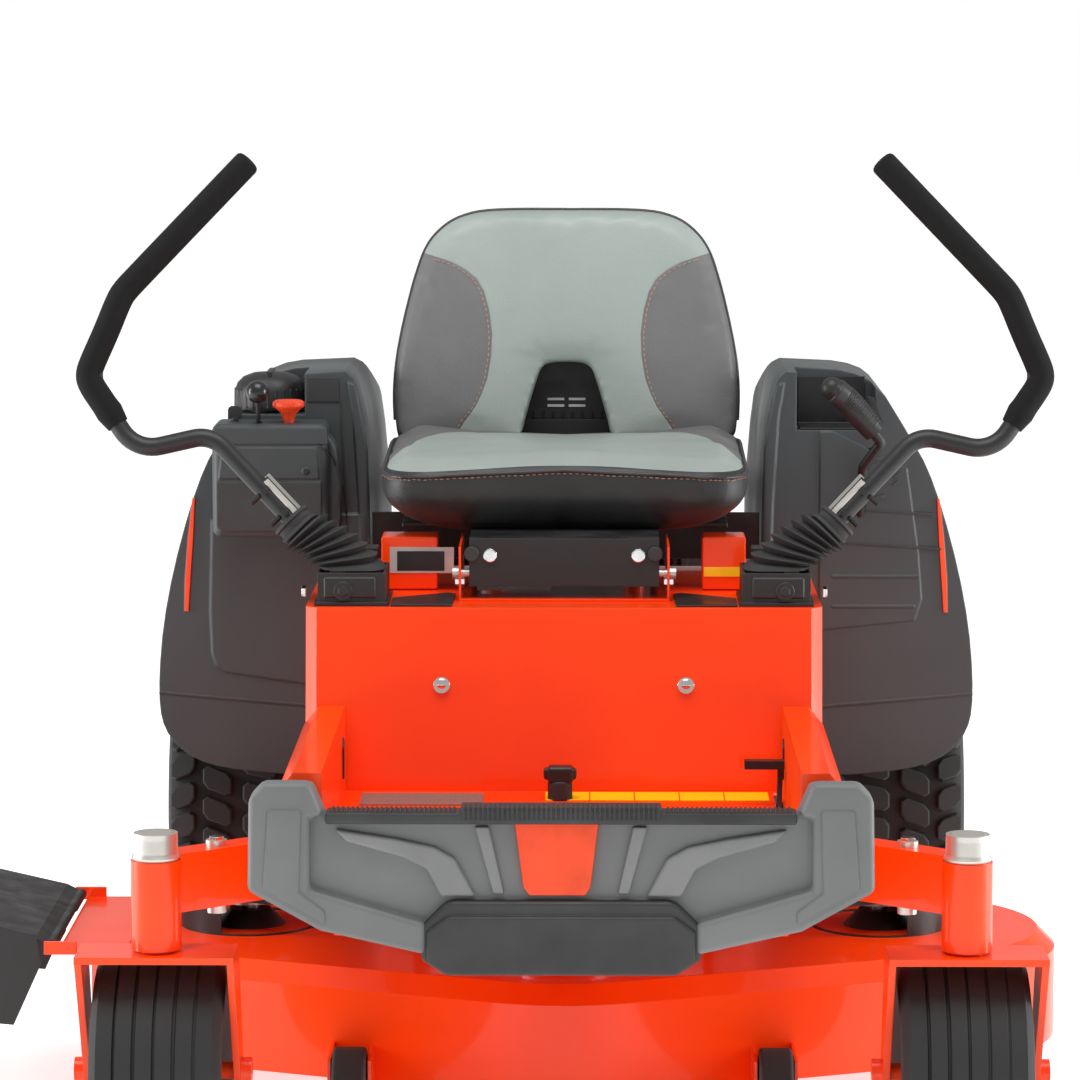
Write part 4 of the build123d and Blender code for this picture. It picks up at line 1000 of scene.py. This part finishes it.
def fender_shape(sign, cuts):
    """A moulded fender: its rounded face pushed back, cut by its roof line and the wheel arch."""
    outline = [tuple(point) for point in smoothed(sided(sign, FENDER_FACE), 2, closed=True)]
    shape = prism(outline, FENDER_Y, 299, bevel=9.0, segments=4)
    arch = rod((sign * 264, 0, TYRE_R), (sign * 620, 0, TYRE_R), TYRE_R + 14, steps=96)
    below = block(limits(sign, 230, 620), (-330, 320), (280, 400))
    roof = prism(FENDER_TOP, sign * 230, sign * 620, across="X")
    return carved(shape, [roof, arch, below, *cuts], 2.2)


class MOWER_OT_fenders(bpy.types.Operator):
    """Build the rear fenders with their console, trays, vents and stripes"""
    bl_idname = "mower.fenders"
    bl_label = "Fenders"

    def execute(self, context):
        """Round the moulded forms and lay the details on them."""
        for side, sign in SIDES.items():
            cuts = [block((-442, -344), (-360, -230), (822, 920))] if sign < 0 else [
                block((304, 408), (-360, -250), (802, 920)),
                block((374, 406), (-360, -240), (640, 778))]
            shape = fender_shape(sign, cuts)
            band = [(258, 500), (270, 500), (274, 700), (281, 820), (289, 866), (277, 862),
                    (261, 775)]
            add(shape, prism(sided(sign, band), FENDER_Y - 4.5, FENDER_Y + 3, bevel=3.2,
                             segments=3))
            if sign < 0:
                add(shape, prism(sided(sign, FENDER_PANEL), FENDER_Y - 4.6, FENDER_Y + 3,
                                 bevel=4.0, segments=3))
            else:
                for far, height in ((468, 606), (462, 566)):
                    add(shape, block((352, far), (FENDER_Y - 3.5, FENDER_Y + 2),
                                     (height, height + 4), 1.6))
                front = [(335, 800), (352, 800), (450, 752), (466, 640), (471, 577), (462, 549),
                         (335, 536)]
                add(shape, prism(front, FENDER_Y - 2.2, FENDER_Y + 3, bevel=1.8))
            # a thin dark strip along the crease: painted shade of the crease
            crease = [(262, 428), (540, 452), (540, 449), (262, 425)]
            add(shape, prism(sided(sign, crease), FENDER_Y - 1.2, FENDER_Y + 2, bevel=0.4), 1)
            add(shape, prism(sided(sign, FENDER_STRIPE), FENDER_Y - 2.4, FENDER_Y + 2,
                             bevel=0.5), 2)
            piece(f"fender_shell_{side}", shape, "root",
                  ["grey_plastic", "dark_plastic_and_painted_shade", "orange_plastic"], [f"fender_{side}"])
        self.right_details()
        self.left_details()
        return {"FINISHED"}

    def right_details(self):
        """The console face, the filler's surround and the ribbed cap."""
        front = -418.0
        console = softened("control_console", 7.0, 3)
        panel = [(-449, 676), (-323, 676), (-318, 682), (-318, 741), (-455, 741), (-455, 682)]
        add(console, prism(panel, front - 4.5, front, bevel=1.2), 1)
        face = [(-452, 745), (-321, 745), (-324, 786), (-447, 786)]
        add(console, prism(face, front - 3.8, front, bevel=1.2), 0)
        step = [(-463, 790), (-309, 790), (-312, 812), (-457, 812)]
        add(console, prism(step, front - 3.2, front, bevel=1.0), 0)
        wedge = [(-313, 672), (-297, 672), (-293, 735), (-301, 786), (-313, 802)]
        add(console, prism(wedge, -390, -341, bevel=6.0, segments=3))
        seam = [(-311.5, -420.5, 786), (-303, -391, 768), (-293.5, -380, 738), (-289, -345.5, 690),
                (-288, -345.5, 620)]
        add(console, tube(smoothed(seam, 2), 0.9, 8), 2)
        for place in ((-338, 755), (-372, 700)):
            add(console, rod((place[0], front - 6, place[1]), (place[0], front, place[1]), 4.2,
                             steps=16, bevel=0.8), 2)
        piece("console_shell", console, "root", ["grey_plastic", "dark_plastic_and_painted_shade", "black_plastic_and_painted_shade"],
              ["control_console"])
        surround = block((-342, -298), (-342.4, -338), (838, 872), 2.0)
        # the thin dark strip down the inner side of the fender is painted shade of the fender's
        # recess
        add(surround, prism([(-300, 520), (-297, 520), (-288, 700), (-296, 840), (-299, 840),
                             (-291, 700)], -341.6, -338, bevel=0.5))
        piece("fender_recess", surround, "root", ["dark_plastic_and_painted_shade"])
        cap = lathe([(826, 0), (826, 46), (832, 48), (850, 47.6), (860, 44), (868, 36), (873, 23),
                     (875, 0)], (-393, -284, 0), "Z", 56)
        for step in range(28):
            turn = math.tau * step / 28
            x, y = -393 + 46.6 * math.cos(turn), -284 + 46.6 * math.sin(turn)
            add(cap, rod((x, y, 829), (x, y, 853), 2.0, 1.6, steps=8))
        add(cap, block((-397, -389), (-318, -250), (868, 877), 2.0))
        piece("filler_cap", cap, "fuel_cap", ["black_plastic_and_painted_shade"], ["fuel_cap"])

    def left_details(self):
        """The tray lining, the fins beside the brake slot and the small vents."""
        tray = block((309, 403), (-337, -251), (802.4, 804), 0.4)
        add(tray, block((309, 399), (-252.5, -250.8), (803, 866), 0.4))
        # a flat black sheet where the slot opens: painted shade of the opening
        slot = [(409, 812), (419, 812), (405, 846), (397, 846)]
        add(tray, prism(slot, FENDER_Y - 1.6, FENDER_Y + 1.5, bevel=0.8))
        for step in range(4):
            height = 722 + step * 17
            add(tray, prism([(408, height - 12), (420, height - 9), (420, height - 5),
                             (408, height - 8)], FENDER_Y - 4, FENDER_Y, bevel=0.5), 1)
        for step in range(4):
            x, height = 431 + step * 1.5, 728 + step * 10
            add(tray, prism([(x, height), (x + 8, height + 5), (x + 8, height + 8),
                             (x, height + 3)], FENDER_Y - 4, FENDER_Y, bevel=0.4), 1)
        # two thin dark lines across the face: painted shade of the steps in the moulding
        for line in ([(352, 700), (484, 692), (484, 689), (352, 697)],
                     [(344, 655), (496, 646), (496, 643), (344, 652)]):
            add(tray, prism(line, FENDER_Y - 3.2, FENDER_Y, bevel=0.3), 2)
        piece("fender_lining", tray, "root", ["black_plastic_and_painted_shade", "grey_plastic", "dark_plastic_and_painted_shade"])


# ---------------------------------------------------------------- knobs and levers
class MOWER_OT_controls(bpy.types.Operator):
    """Build the knobs and the ribbed grip of the brake lever"""
    bl_idname = "mower.controls"
    bl_label = "Controls"

    def execute(self, context):
        """Model each control on the body that it moves with."""
        ball = bmesh.new()
        bmesh.ops.create_uvsphere(ball, u_segments=32, v_segments=20, radius=15)
        bmesh.ops.translate(ball, verts=ball.verts, vec=(-401, -413, 858))
        piece("throttle_ball", ball, "throttle", ["gloss_black"])
        knob = lathe([(812, 0), (812, 7), (820, 7.5), (828, 10), (834, 16), (836.5, 20),
                      (839, 21), (843, 20.5), (845.5, 17), (846, 0)], (-362, -392, 0), "Z", 40)
        piece("clutch_knob_head", knob, "clutch_knob", ["knob_plastic"], ["clutch_knob"])
        low, high = Vector((402, -410, 807)), Vector((346, -428, 864))
        rings = 44
        spine = [low.lerp(high, step / rings) for step in range(rings + 1)]
        radii = []
        for step in range(rings + 1):
            share = step / rings
            size = 14.2 + 3.4 * share
            if 4 < step < 33:
                size += 0.9 if step % 2 else -0.5
            if share > 0.93:
                size *= 1 - (share - 0.93) * 6.0
            if step == 0:
                size = 11.0
            radii.append(size)
        bow = [spot + Vector((0, 0, 5 * math.sin(math.pi * index / rings)))
               for index, spot in enumerate(spine)]
        piece("brake_grip", tube(bow, 15, 28, radii=radii), "brake", ["black_plastic_and_painted_shade"], angle=60)
        return {"FINISHED"}


def bar_point(sign, x, z, shift=0.0):
    """A point in the leaning plane of a lap bar."""
    return Vector((sign * x, -697 + (z - 668) * 0.2 + shift, z))


class MOWER_OT_levers(bpy.types.Operator):
    """Build the lap bars' foam grips, straps, rubber boots and housings"""
    bl_idname = "mower.levers"
    bl_label = "Levers"

    def execute(self, context):
        """Model both sides."""
        for side, sign in SIDES.items():
            self.grip(side, sign)
            self.strap(side, sign)
            self.boot(side, sign)
            self.housing(side, sign)
        return {"FINISHED"}

    def grip(self, side, sign):
        """A foam sleeve with a flared mouth and a domed end."""
        corners = [(557, 838), (576, 865), (592, 888), (594.5, 900), (590, 914), (573, 952),
                   (558, 990), (551, 1002), (538, 1016), (470, 1087), (400, 1160)]
        line = smoothed([bar_point(sign, *corner) for corner in corners], 2)
        radius = 16.6
        radii = [14.0, 17.4] + [radius] * (len(line) - 2)
        tip, run = line[-1], (line[-1] - line[-2]).normalized()
        for reach, share in ((3.0, 0.97), (5.5, 0.86), (7.0, 0.66), (7.8, 0.35), (8.0, 0.1)):
            line.append(tip + run * reach)
            radii.append(radius * share)
        sleeve = tube(line, radius, 28, radii=radii)
        piece(f"foam_grip_{side}", sleeve, f"bar_{side}", ["foam"], [f"bar_grip_{side}"],
              angle=50)

    def strap(self, side, sign):
        """The plated strap on the bar and its two bolts."""
        low, high = bar_point(sign, 324, 705.5), bar_point(sign, 380, 763.7)
        run = (high - low).normalized()
        out = run.cross(Vector((0, -1, 0))).normalized()
        if out.z < 0:
            out = -out
        front = Vector((0, -10.3, -2))
        across = Vector((0, 1, 0.2)).normalized()
        ends = [[end + across * a + out * (12.5 + b) for a, b in
                 ((-10.8, -3.6), (10.8, -3.6), (10.8, 4.4), (-10.8, 4.4))]
                for end in (low - run, high + run)]
        made = rounded_loft(ends)
        for share in (0.45, 0.9):
            middle = low.lerp(high, share) + out * 3
            add(made, rod(middle + front, middle + front + Vector((0, -7, 0)), 5.2, steps=6,
                          bevel=0.6), 1)
            add(made, rod(middle - out * 9 + front * 0.8, middle - out * 24 + front * 0.8, 3.4,
                          steps=12, bevel=0.4), 1)
        piece(f"bar_strap_{side}", made, f"bar_{side}", ["zinc", "black_enamel"])

    def boot(self, side, sign):
        """Bellows that open like a fan from the housing up to the collar round the bar."""
        foot, mouth = Vector((sign * 262, -697, 664)), bar_point(sign, 331, 712)
        rise = (bar_point(sign, 402, 785) - mouth).normalized()
        rings, sections = [], 30
        for step in range(sections + 1):
            share = step / sections
            middle = foot.lerp(mouth, share) + Vector((0, 0, 6 * math.sin(math.pi * share)))
            axis = Vector((0, 0, 1)).lerp(rise, min(1.0, share * 1.15)).normalized()
            folded = 0.06 <= share <= 0.92
            fold = 5.5 * (0, 1, 0, -1)[step % 4] if folded else 0.0
            half_x = 40 - 15 * share ** 0.8 + fold
            half_y = 45 - 20 * share ** 0.8 + fold
            side_axis = Vector((0, 1, 0)).cross(axis).normalized()
            depth_axis = axis.cross(side_axis)
            ring = []
            for x, y in superellipse(0, half_x, half_y, 3.4, 48):
                ring.append(middle + side_axis * x + depth_axis * y)
            rings.append(ring)
        skin = loft(rings)
        boot = piece(f"bellows_{side}", skin, None, ["soft_rubber"], angle=60)
        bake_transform(boot)
        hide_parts(f"lever_boot_{side}")
        end = mouth + rise * 15
        upper = tube([mouth - rise * 4, mouth, mouth + rise * 9, mouth + rise * 11, end], 24, 28,
                     radii=[21, 23, 23, 26, 25])
        piece(f"boot_collar_{side}", upper, f"bar_{side}", ["soft_rubber"])

    def housing(self, side, sign):
        """The moulded box under the boot, with a raised panel and a sunk bolt."""
        box = softened("lever_housings", 0.0)
        other_side = [vertex for vertex in box.verts if vertex.co.x * sign < 0]
        bmesh.ops.delete(box, geom=other_side, context="VERTS")
        hard = [edge for edge in box.edges if edge.calc_face_angle(0) > 0.5]
        rounded(box, hard, 2.0, 2)
        x = limits(sign, 232, 296)
        add(box, block(x, (-755.5, -750), (632, 658), 2.4))
        centre = (sign * 272, 641)
        for radius, reach in ((11.5, -758.5), (6.5, -761.0)):
            add(box, rod((centre[0], -752, centre[1]), (centre[0], reach, centre[1]), radius,
                         steps=6 if radius < 7 else 28, bevel=0.8), 0 if radius > 7 else 1)
        piece(f"lever_base_{side}", box, "root", ["black_plastic_and_painted_shade", "satin_black"],
              ["lever_housings"] if sign < 0 else ())


def rounded_loft(rings):
    """A skin through rings with its hard edges rounded."""
    shape = loft(rings)
    return rounded(shape, [edge for edge in shape.edges if edge.calc_face_angle(0) > 0.5], 1.2)


# ---------------------------------------------------------------- front cover
COVER_Y = -1335.0


class MOWER_OT_front_cover(bpy.types.Operator):
    """Build the moulded front cover with its towers, ribs, bumper and badge plate"""
    bl_idname = "mower.front_cover"
    bl_label = "Front cover"

    def execute(self, context):
        """Lay the raised forms on the back plate."""
        plate = [(0, 462), (262, 462), (277, 497), (330, 497), (345, 482), (345, 380),
                 (266, 335), (150, 322), (0, 322)]
        whole = plate + [(-x, z) for x, z in reversed(plate[1:-1])]
        cover = prism(whole, COVER_Y + 20, -1291, bevel=4.0)
        for sign in (-1, 1):
            tower = [(264, 463), (279, 500), (331, 500), (347, 483), (349, 378), (268, 333),
                     (150, 306), (150, 342), (279, 380), (279, 461)]
            add(cover, prism(sided(sign, tower), COVER_Y + 4, -1300, bevel=7.0, segments=3))
            face = [(288, 470), (326, 470), (332, 382), (262, 342), (262, 356), (291, 378)]
            add(cover, prism(sided(sign, face), COVER_Y + 1.5, COVER_Y + 14, bevel=2.5))
            # the ribs and the strips take the paler grey of the painted highlight
            rib = [(252, 447), (186, 437), (141, 427), (118, 414), (95, 371), (134, 371),
                   (150, 402), (176, 415), (240, 433)]
            add(cover, prism(sided(sign, rib), COVER_Y + 13, COVER_Y + 22, bevel=3.5,
                             segments=3), 2)
            strip = [(96, 450), (80, 450), (63, 374), (76, 374)]
            add(cover, prism(sided(sign, strip), COVER_Y + 14, COVER_Y + 22, bevel=2.5), 2)
            for step in range(26):
                x = limits(sign, 118 + step * 5.4, 120.6 + step * 5.4)
                add(cover, block(x, (COVER_Y + 6, -1296), (465, 469), 0.6), 1)
        add(cover, block((-262, 262), (COVER_Y + 4, -1292), (454, 467), 3.0), 1)
        add(cover, block((-112, 112), (COVER_Y + 4, -1292), (462, 473), 3.0), 1)
        for step in range(41):
            x = -108 + step * 5.4
            add(cover, block((x - 1.6, x + 1.6), (COVER_Y + 3, -1300), (459, 474), 0.5), 1)
        upper = [(-132, 286), (132, 286), (156, 300), (156, 338), (132, 362), (122, 367),
                 (-122, 367), (-132, 362), (-156, 338), (-156, 300)]
        add(cover, prism(upper, COVER_Y + 6, -1302, bevel=5.0, segments=3), 1)
        lower = [(-128, 284), (128, 284), (150, 298), (150, 334), (126, 351), (-126, 351),
                 (-150, 334), (-150, 298)]
        add(cover, prism(lower, COVER_Y + 0.6, -1310, bevel=4.0, segments=3), 3)
        piece("cover_shell", cover, "root",
              ["cover_plastic", "dark_plastic_and_painted_shade", "cover_painted_highlight", "dark_plastic_and_painted_shade"],
              ["front_cover"])
        badge = [(-52, 458), (42, 458), (33, 382), (27, 373), (-35, 373), (-42, 382)]
        piece("badge_plate", prism(badge, COVER_Y + 11, COVER_Y + 22, bevel=1.6), "root",
              ["orange_plastic"])
        return {"FINISHED"}


# ---------------------------------------------------------------- seat box and floor
class MOWER_OT_seat_box(bpy.types.Operator):
    """Build the bolts, plates, brackets and labels round the seat box and floor pan"""
    bl_idname = "mower.seat_box"
    bl_label = "Seat box"

    def execute(self, context):
        """Round the sheet metal and fit the small parts."""
        for node, width in (("seat_box", 2.0), ("footwell", 1.2), ("seat_bracket", 1.2),
                            ("caster_arms", 2.6), ("deck_shell", 1.2)):
            body = "deck" if node == "deck_shell" else "root"
            piece(f"{node}_sheet", softened(node, width), body, ["orange_enamel"], [node])
        self.belt()
        self.bolts()
        self.plates()
        self.labels()
        return {"FINISHED"}

    def belt(self):
        """The blade belt, which slopes from the engine pulley down to the deck's pulleys."""
        belt = piece("blade_belt", softened("deck_belt", 0.0), None, ["soft_rubber"])
        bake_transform(belt)
        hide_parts("deck_belt")

    def bolts(self):
        """Plated pan heads and hexagons."""
        heads = bmesh.new()
        slope = (768 - 800) / (622 - 400)
        for x in (-150, 150):
            y = -800 - slope * (528 - 400)
            add(heads, lathe([(0.5, 0), (0.5, 10.5), (-2.0, 10.2), (-4.2, 8.0), (-5.6, 4.5),
                              (-6.2, 0)], (x, y, 528), "Y", 32))
        for sign in (-1, 1):
            add(heads, rod((sign * 321, -700, 634), (sign * 327, -700, 634), 7.0, steps=6,
                           bevel=1.0))
            add(heads, rod((sign * 92, -702.5, 679), (sign * 92, -706.5, 679), 9.0, steps=32,
                           bevel=2.0))
            add(heads, rod((sign * 394, -1196, 405), (sign * 394, -1196, 416), 9.0, steps=6,
                           bevel=1.0))
            add(heads, rod((sign * 136, -690, 645), (sign * 124, -690, 645), 6.0, steps=6,
                           bevel=0.8))
        piece("bolt_heads", heads, "root", ["chrome"])
        plugs = bmesh.new()
        for x in (-115, 113):
            add(plugs, rod((x, -702.5, 681), (x, -706.5, 681), 9.4, steps=32, bevel=1.4))
        piece("channel_plugs", plugs, "seat", ["dark_plastic_and_painted_shade"])

    def plates(self):
        """Guide plates by the housings, dark panels behind them, seat stops, and black sheets in
        the side slots as painted shade.
        """
        made = bmesh.new()
        for sign in (-1, 1):
            guide = sided(sign, [(138, -758), (214, -758), (214, -690), (146, -640), (136, -650)])
            add(made, prism(guide, 622.3, 624.6, across="Z", bevel=0.6))
            add(made, block(limits(sign, 236, 300), (-596, -560), (623, 676), 2.0))
            add(made, block(limits(sign, 112, 256), (-332, -328), (630, 692), 1.0))
        piece("guide_plates", made, "root", ["satin_black"])
        stops = bmesh.new()
        for x in ((-232, -161), (174, 229)):
            add(stops, block(x, (-600, -540), (623, 690), 2.5))
        piece("seat_stops", stops, "root", ["orange_enamel"])
        # flat black sheets in the gaps of the footwell's sides: painted shade
        slots = bmesh.new()
        for sign in (-1, 1):
            add(slots, prism([(-858, 424), (-846, 424), (-844, 470), (-852, 474), (-860, 462)],
                             sign * 267.9, sign * 266.2, across="X", bevel=0.4))
        piece("side_slot_shade", slots, "root", ["black_plastic_and_painted_shade"])

    def labels(self):
        """Plain label stock where the labels are, with nothing printed on it."""
        floor = 400.0
        sheets = bmesh.new()
        add(sheets, block((-221, -140), (-601.2, -600), (644, 677), 0.3))
        add(sheets, block((-212, -152), (-601.6, -601), (647, 672), 0.2), 1)
        add(sheets, block((-246, -97), (-905, -824), (floor + 0.2, floor + 1.2), 0.3), 2)
        for step in range(5):
            x = -22 + step * 54.6
            add(sheets, block((x, x + 53.2), (-872, -815), (floor + 0.2, floor + 1.1), 0.2), 3)
        add(sheets, block((176, 228), (-601.2, -600), (640, 652), 0.3), 3)
        add(sheets, block((-110, -16), (-641, -640), (627, 640), 0.3), 0)
        piece("plain_labels", sheets, "root",
              ["grey_label", "black_plastic_and_painted_shade", "brown_label", "yellow_label"])


class MOWER_OT_engine(bpy.types.Operator):
    """Build the engine's intake screen and the height knob"""
    bl_idname = "mower.engine"
    bl_label = "Engine and knob"

    def execute(self, context):
        """Model the visible engine details and the knob on the floor."""
        screen = lathe([(690, 0), (690, 108), (696, 108), (698, 104), (698, 0)], (0, 250, 0), "Z",
                       64)
        for radius in (30, 44, 58, 72, 86, 100):
            add(screen, lathe([(697, radius - 2), (701, radius - 1.6), (701, radius + 1.6),
                               (697, radius + 2)], (0, 250, 0), "Z", 64), 1)
        for step in range(12):
            turn = math.tau * step / 12
            c, s = math.cos(turn), math.sin(turn)
            add(screen, rod((22 * c, 250 + 22 * s, 699), (104 * c, 250 + 104 * s, 699), 2.0,
                            steps=8), 1)
        piece("intake_screen", screen, "root", ["black_plastic_and_painted_shade", "satin_black"])
        handle = lathe([(400.4, 0), (400.4, 15), (420, 15), (423, 13), (423, 0)], (-4, -860, 0),
                       "Z", 28)
        add(handle, block((-19, 12), (-872, -848), (421, 441), 4.0, 3))
        add(handle, block((-24, 16), (-866, -854), (424, 439), 4.0, 3))
        piece("height_handle", handle, "height_knob", ["black_plastic_and_painted_shade"], ["height_knob"])
        return {"FINISHED"}


# ---------------------------------------------------------------- stage
class MOWER_OT_stage(bpy.types.Operator):
    """Set up the pale floor, the soft lights and the camera"""
    bl_idname = "mower.stage"
    bl_label = "Stage"

    def execute(self, context):
        """Place everything that isn't part of the mower."""
        scene = context.scene
        settings = scene.mower_stage
        floor_mesh = bpy.data.meshes.new("floor")
        shape = bmesh.new()
        bmesh.ops.create_grid(shape, x_segments=1, y_segments=1, size=30)
        shape.to_mesh(floor_mesh)
        shape.free()
        floor = bpy.data.objects.new("floor", floor_mesh)
        scene.collection.objects.link(floor)
        paper = bpy.data.materials.new("paper")
        paper.use_nodes = True
        surface = paper.node_tree.nodes["Principled BSDF"]
        surface.inputs["Base Color"].default_value = (0.9, 0.9, 0.9, 1)
        surface.inputs["Roughness"].default_value = 0.9
        surface.inputs["Emission Color"].default_value = (1, 1, 1, 1)
        surface.inputs["Emission Strength"].default_value = 0.6
        floor_mesh.materials.append(paper)
        world = bpy.data.worlds.new("studio")
        scene.world = world
        world.use_nodes = True
        tree = world.node_tree
        tree.nodes.clear()
        seen = add_node(tree, "ShaderNodeLightPath").outputs["Is Camera Ray"]
        strength = add_node(tree, "ShaderNodeMapRange", {"Value": seen, "To Min": settings.world,
                                                         "To Max": 1.0}).outputs["Result"]
        sky = add_node(tree, "ShaderNodeBackground", {"Color": (1, 1, 1, 1), "Strength": strength})
        add_node(tree, "ShaderNodeOutputWorld", {"Surface": sky.outputs["Background"]})
        self.lamp("overhead", (0, -1.5, 4.2), (0, 0, 0.6), 3.0, 2.4, settings.key_power)
        self.lamp("right_strip", (-3.2, -0.5, 0.9), (0, -0.45, 0.7), 0.4, 2.2, settings.side_power)
        self.lamp("left_strip", (3.2, -0.5, 0.9), (0, -0.45, 0.7), 0.4, 2.2, settings.side_power)
        self.camera(scene, settings)
        scene.view_settings.view_transform = "Standard"
        return {"FINISHED"}

    def lamp(self, name, place, target, width, height, power):
        """A soft rectangular light turned towards a point."""
        data = bpy.data.lights.new(name, "AREA")
        data.shape = "RECTANGLE"
        data.size, data.size_y, data.energy = width, height, power
        lamp = bpy.data.objects.new(name, data)
        bpy.context.scene.collection.objects.link(lamp)
        lamp.location = place
        lamp.rotation_mode = "QUATERNION"
        lamp.rotation_quaternion = (Vector(target) - Vector(place)).to_track_quat("-Z", "Y")

    def camera(self, scene, settings):
        """The view from the front, a little above the seat."""
        data = bpy.data.cameras.new("camera")
        data.lens, data.sensor_width = settings.lens, 36.0
        data.clip_end = 200
        camera = bpy.data.objects.new("camera", data)
        scene.collection.objects.link(camera)
        camera.location = PLACE @ Vector((30, -6250, 1351))
        camera.rotation_euler = (math.radians(90 - 6.71), 0, math.radians(0.62))
        scene.camera = camera


# ---------------------------------------------------------------- add-on
class MOWER_PT_panel(bpy.types.Panel):
    """Sizes, colours and build steps of the mower"""
    bl_idname = "MOWER_PT_panel"
    bl_label = "Mower"
    bl_space_type = "VIEW_3D"
    bl_region_type = "UI"
    bl_category = "Mower"

    def draw(self, context):
        """Show the settings and a button for each step."""
        scene = context.scene
        for group in SETTINGS:
            box = self.layout.box()
            for name in getattr(scene, group).bl_rna.properties.keys():
                if name not in ("rna_type", "name"):
                    box.prop(getattr(scene, group), name)
        for step in STEPS:
            self.layout.operator(step.bl_idname)


SETTINGS = {
    "mower_colours": MowerColours,
    "mower_wheels": WheelSizes,
    "mower_seat": SeatSizes,
    "mower_stage": StageSettings,
}
STEPS = (
    MOWER_OT_finishes,
    MOWER_OT_rear_wheels,
    MOWER_OT_casters,
    MOWER_OT_seat,
    MOWER_OT_fenders,
    MOWER_OT_controls,
    MOWER_OT_levers,
    MOWER_OT_front_cover,
    MOWER_OT_seat_box,
    MOWER_OT_engine,
    MOWER_OT_stage,
)
CLASSES = (*SETTINGS.values(), *STEPS, MOWER_PT_panel)


def register():
    """Add the settings, the steps and the panel."""
    for item in CLASSES:
        bpy.utils.register_class(item)
    for name, group in SETTINGS.items():
        setattr(bpy.types.Scene, name, PointerProperty(type=group))


def unregister():
    """Take everything away again."""
    for name in SETTINGS:
        delattr(bpy.types.Scene, name)
    for item in reversed(CLASSES):
        bpy.utils.unregister_class(item)


def main():
    """Build the looks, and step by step."""
    register()
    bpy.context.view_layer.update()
    for step in STEPS:
        area, action = step.bl_idname.split(".")
        getattr(getattr(bpy.ops, area), action)()


if __name__ == "__main__":
    main()
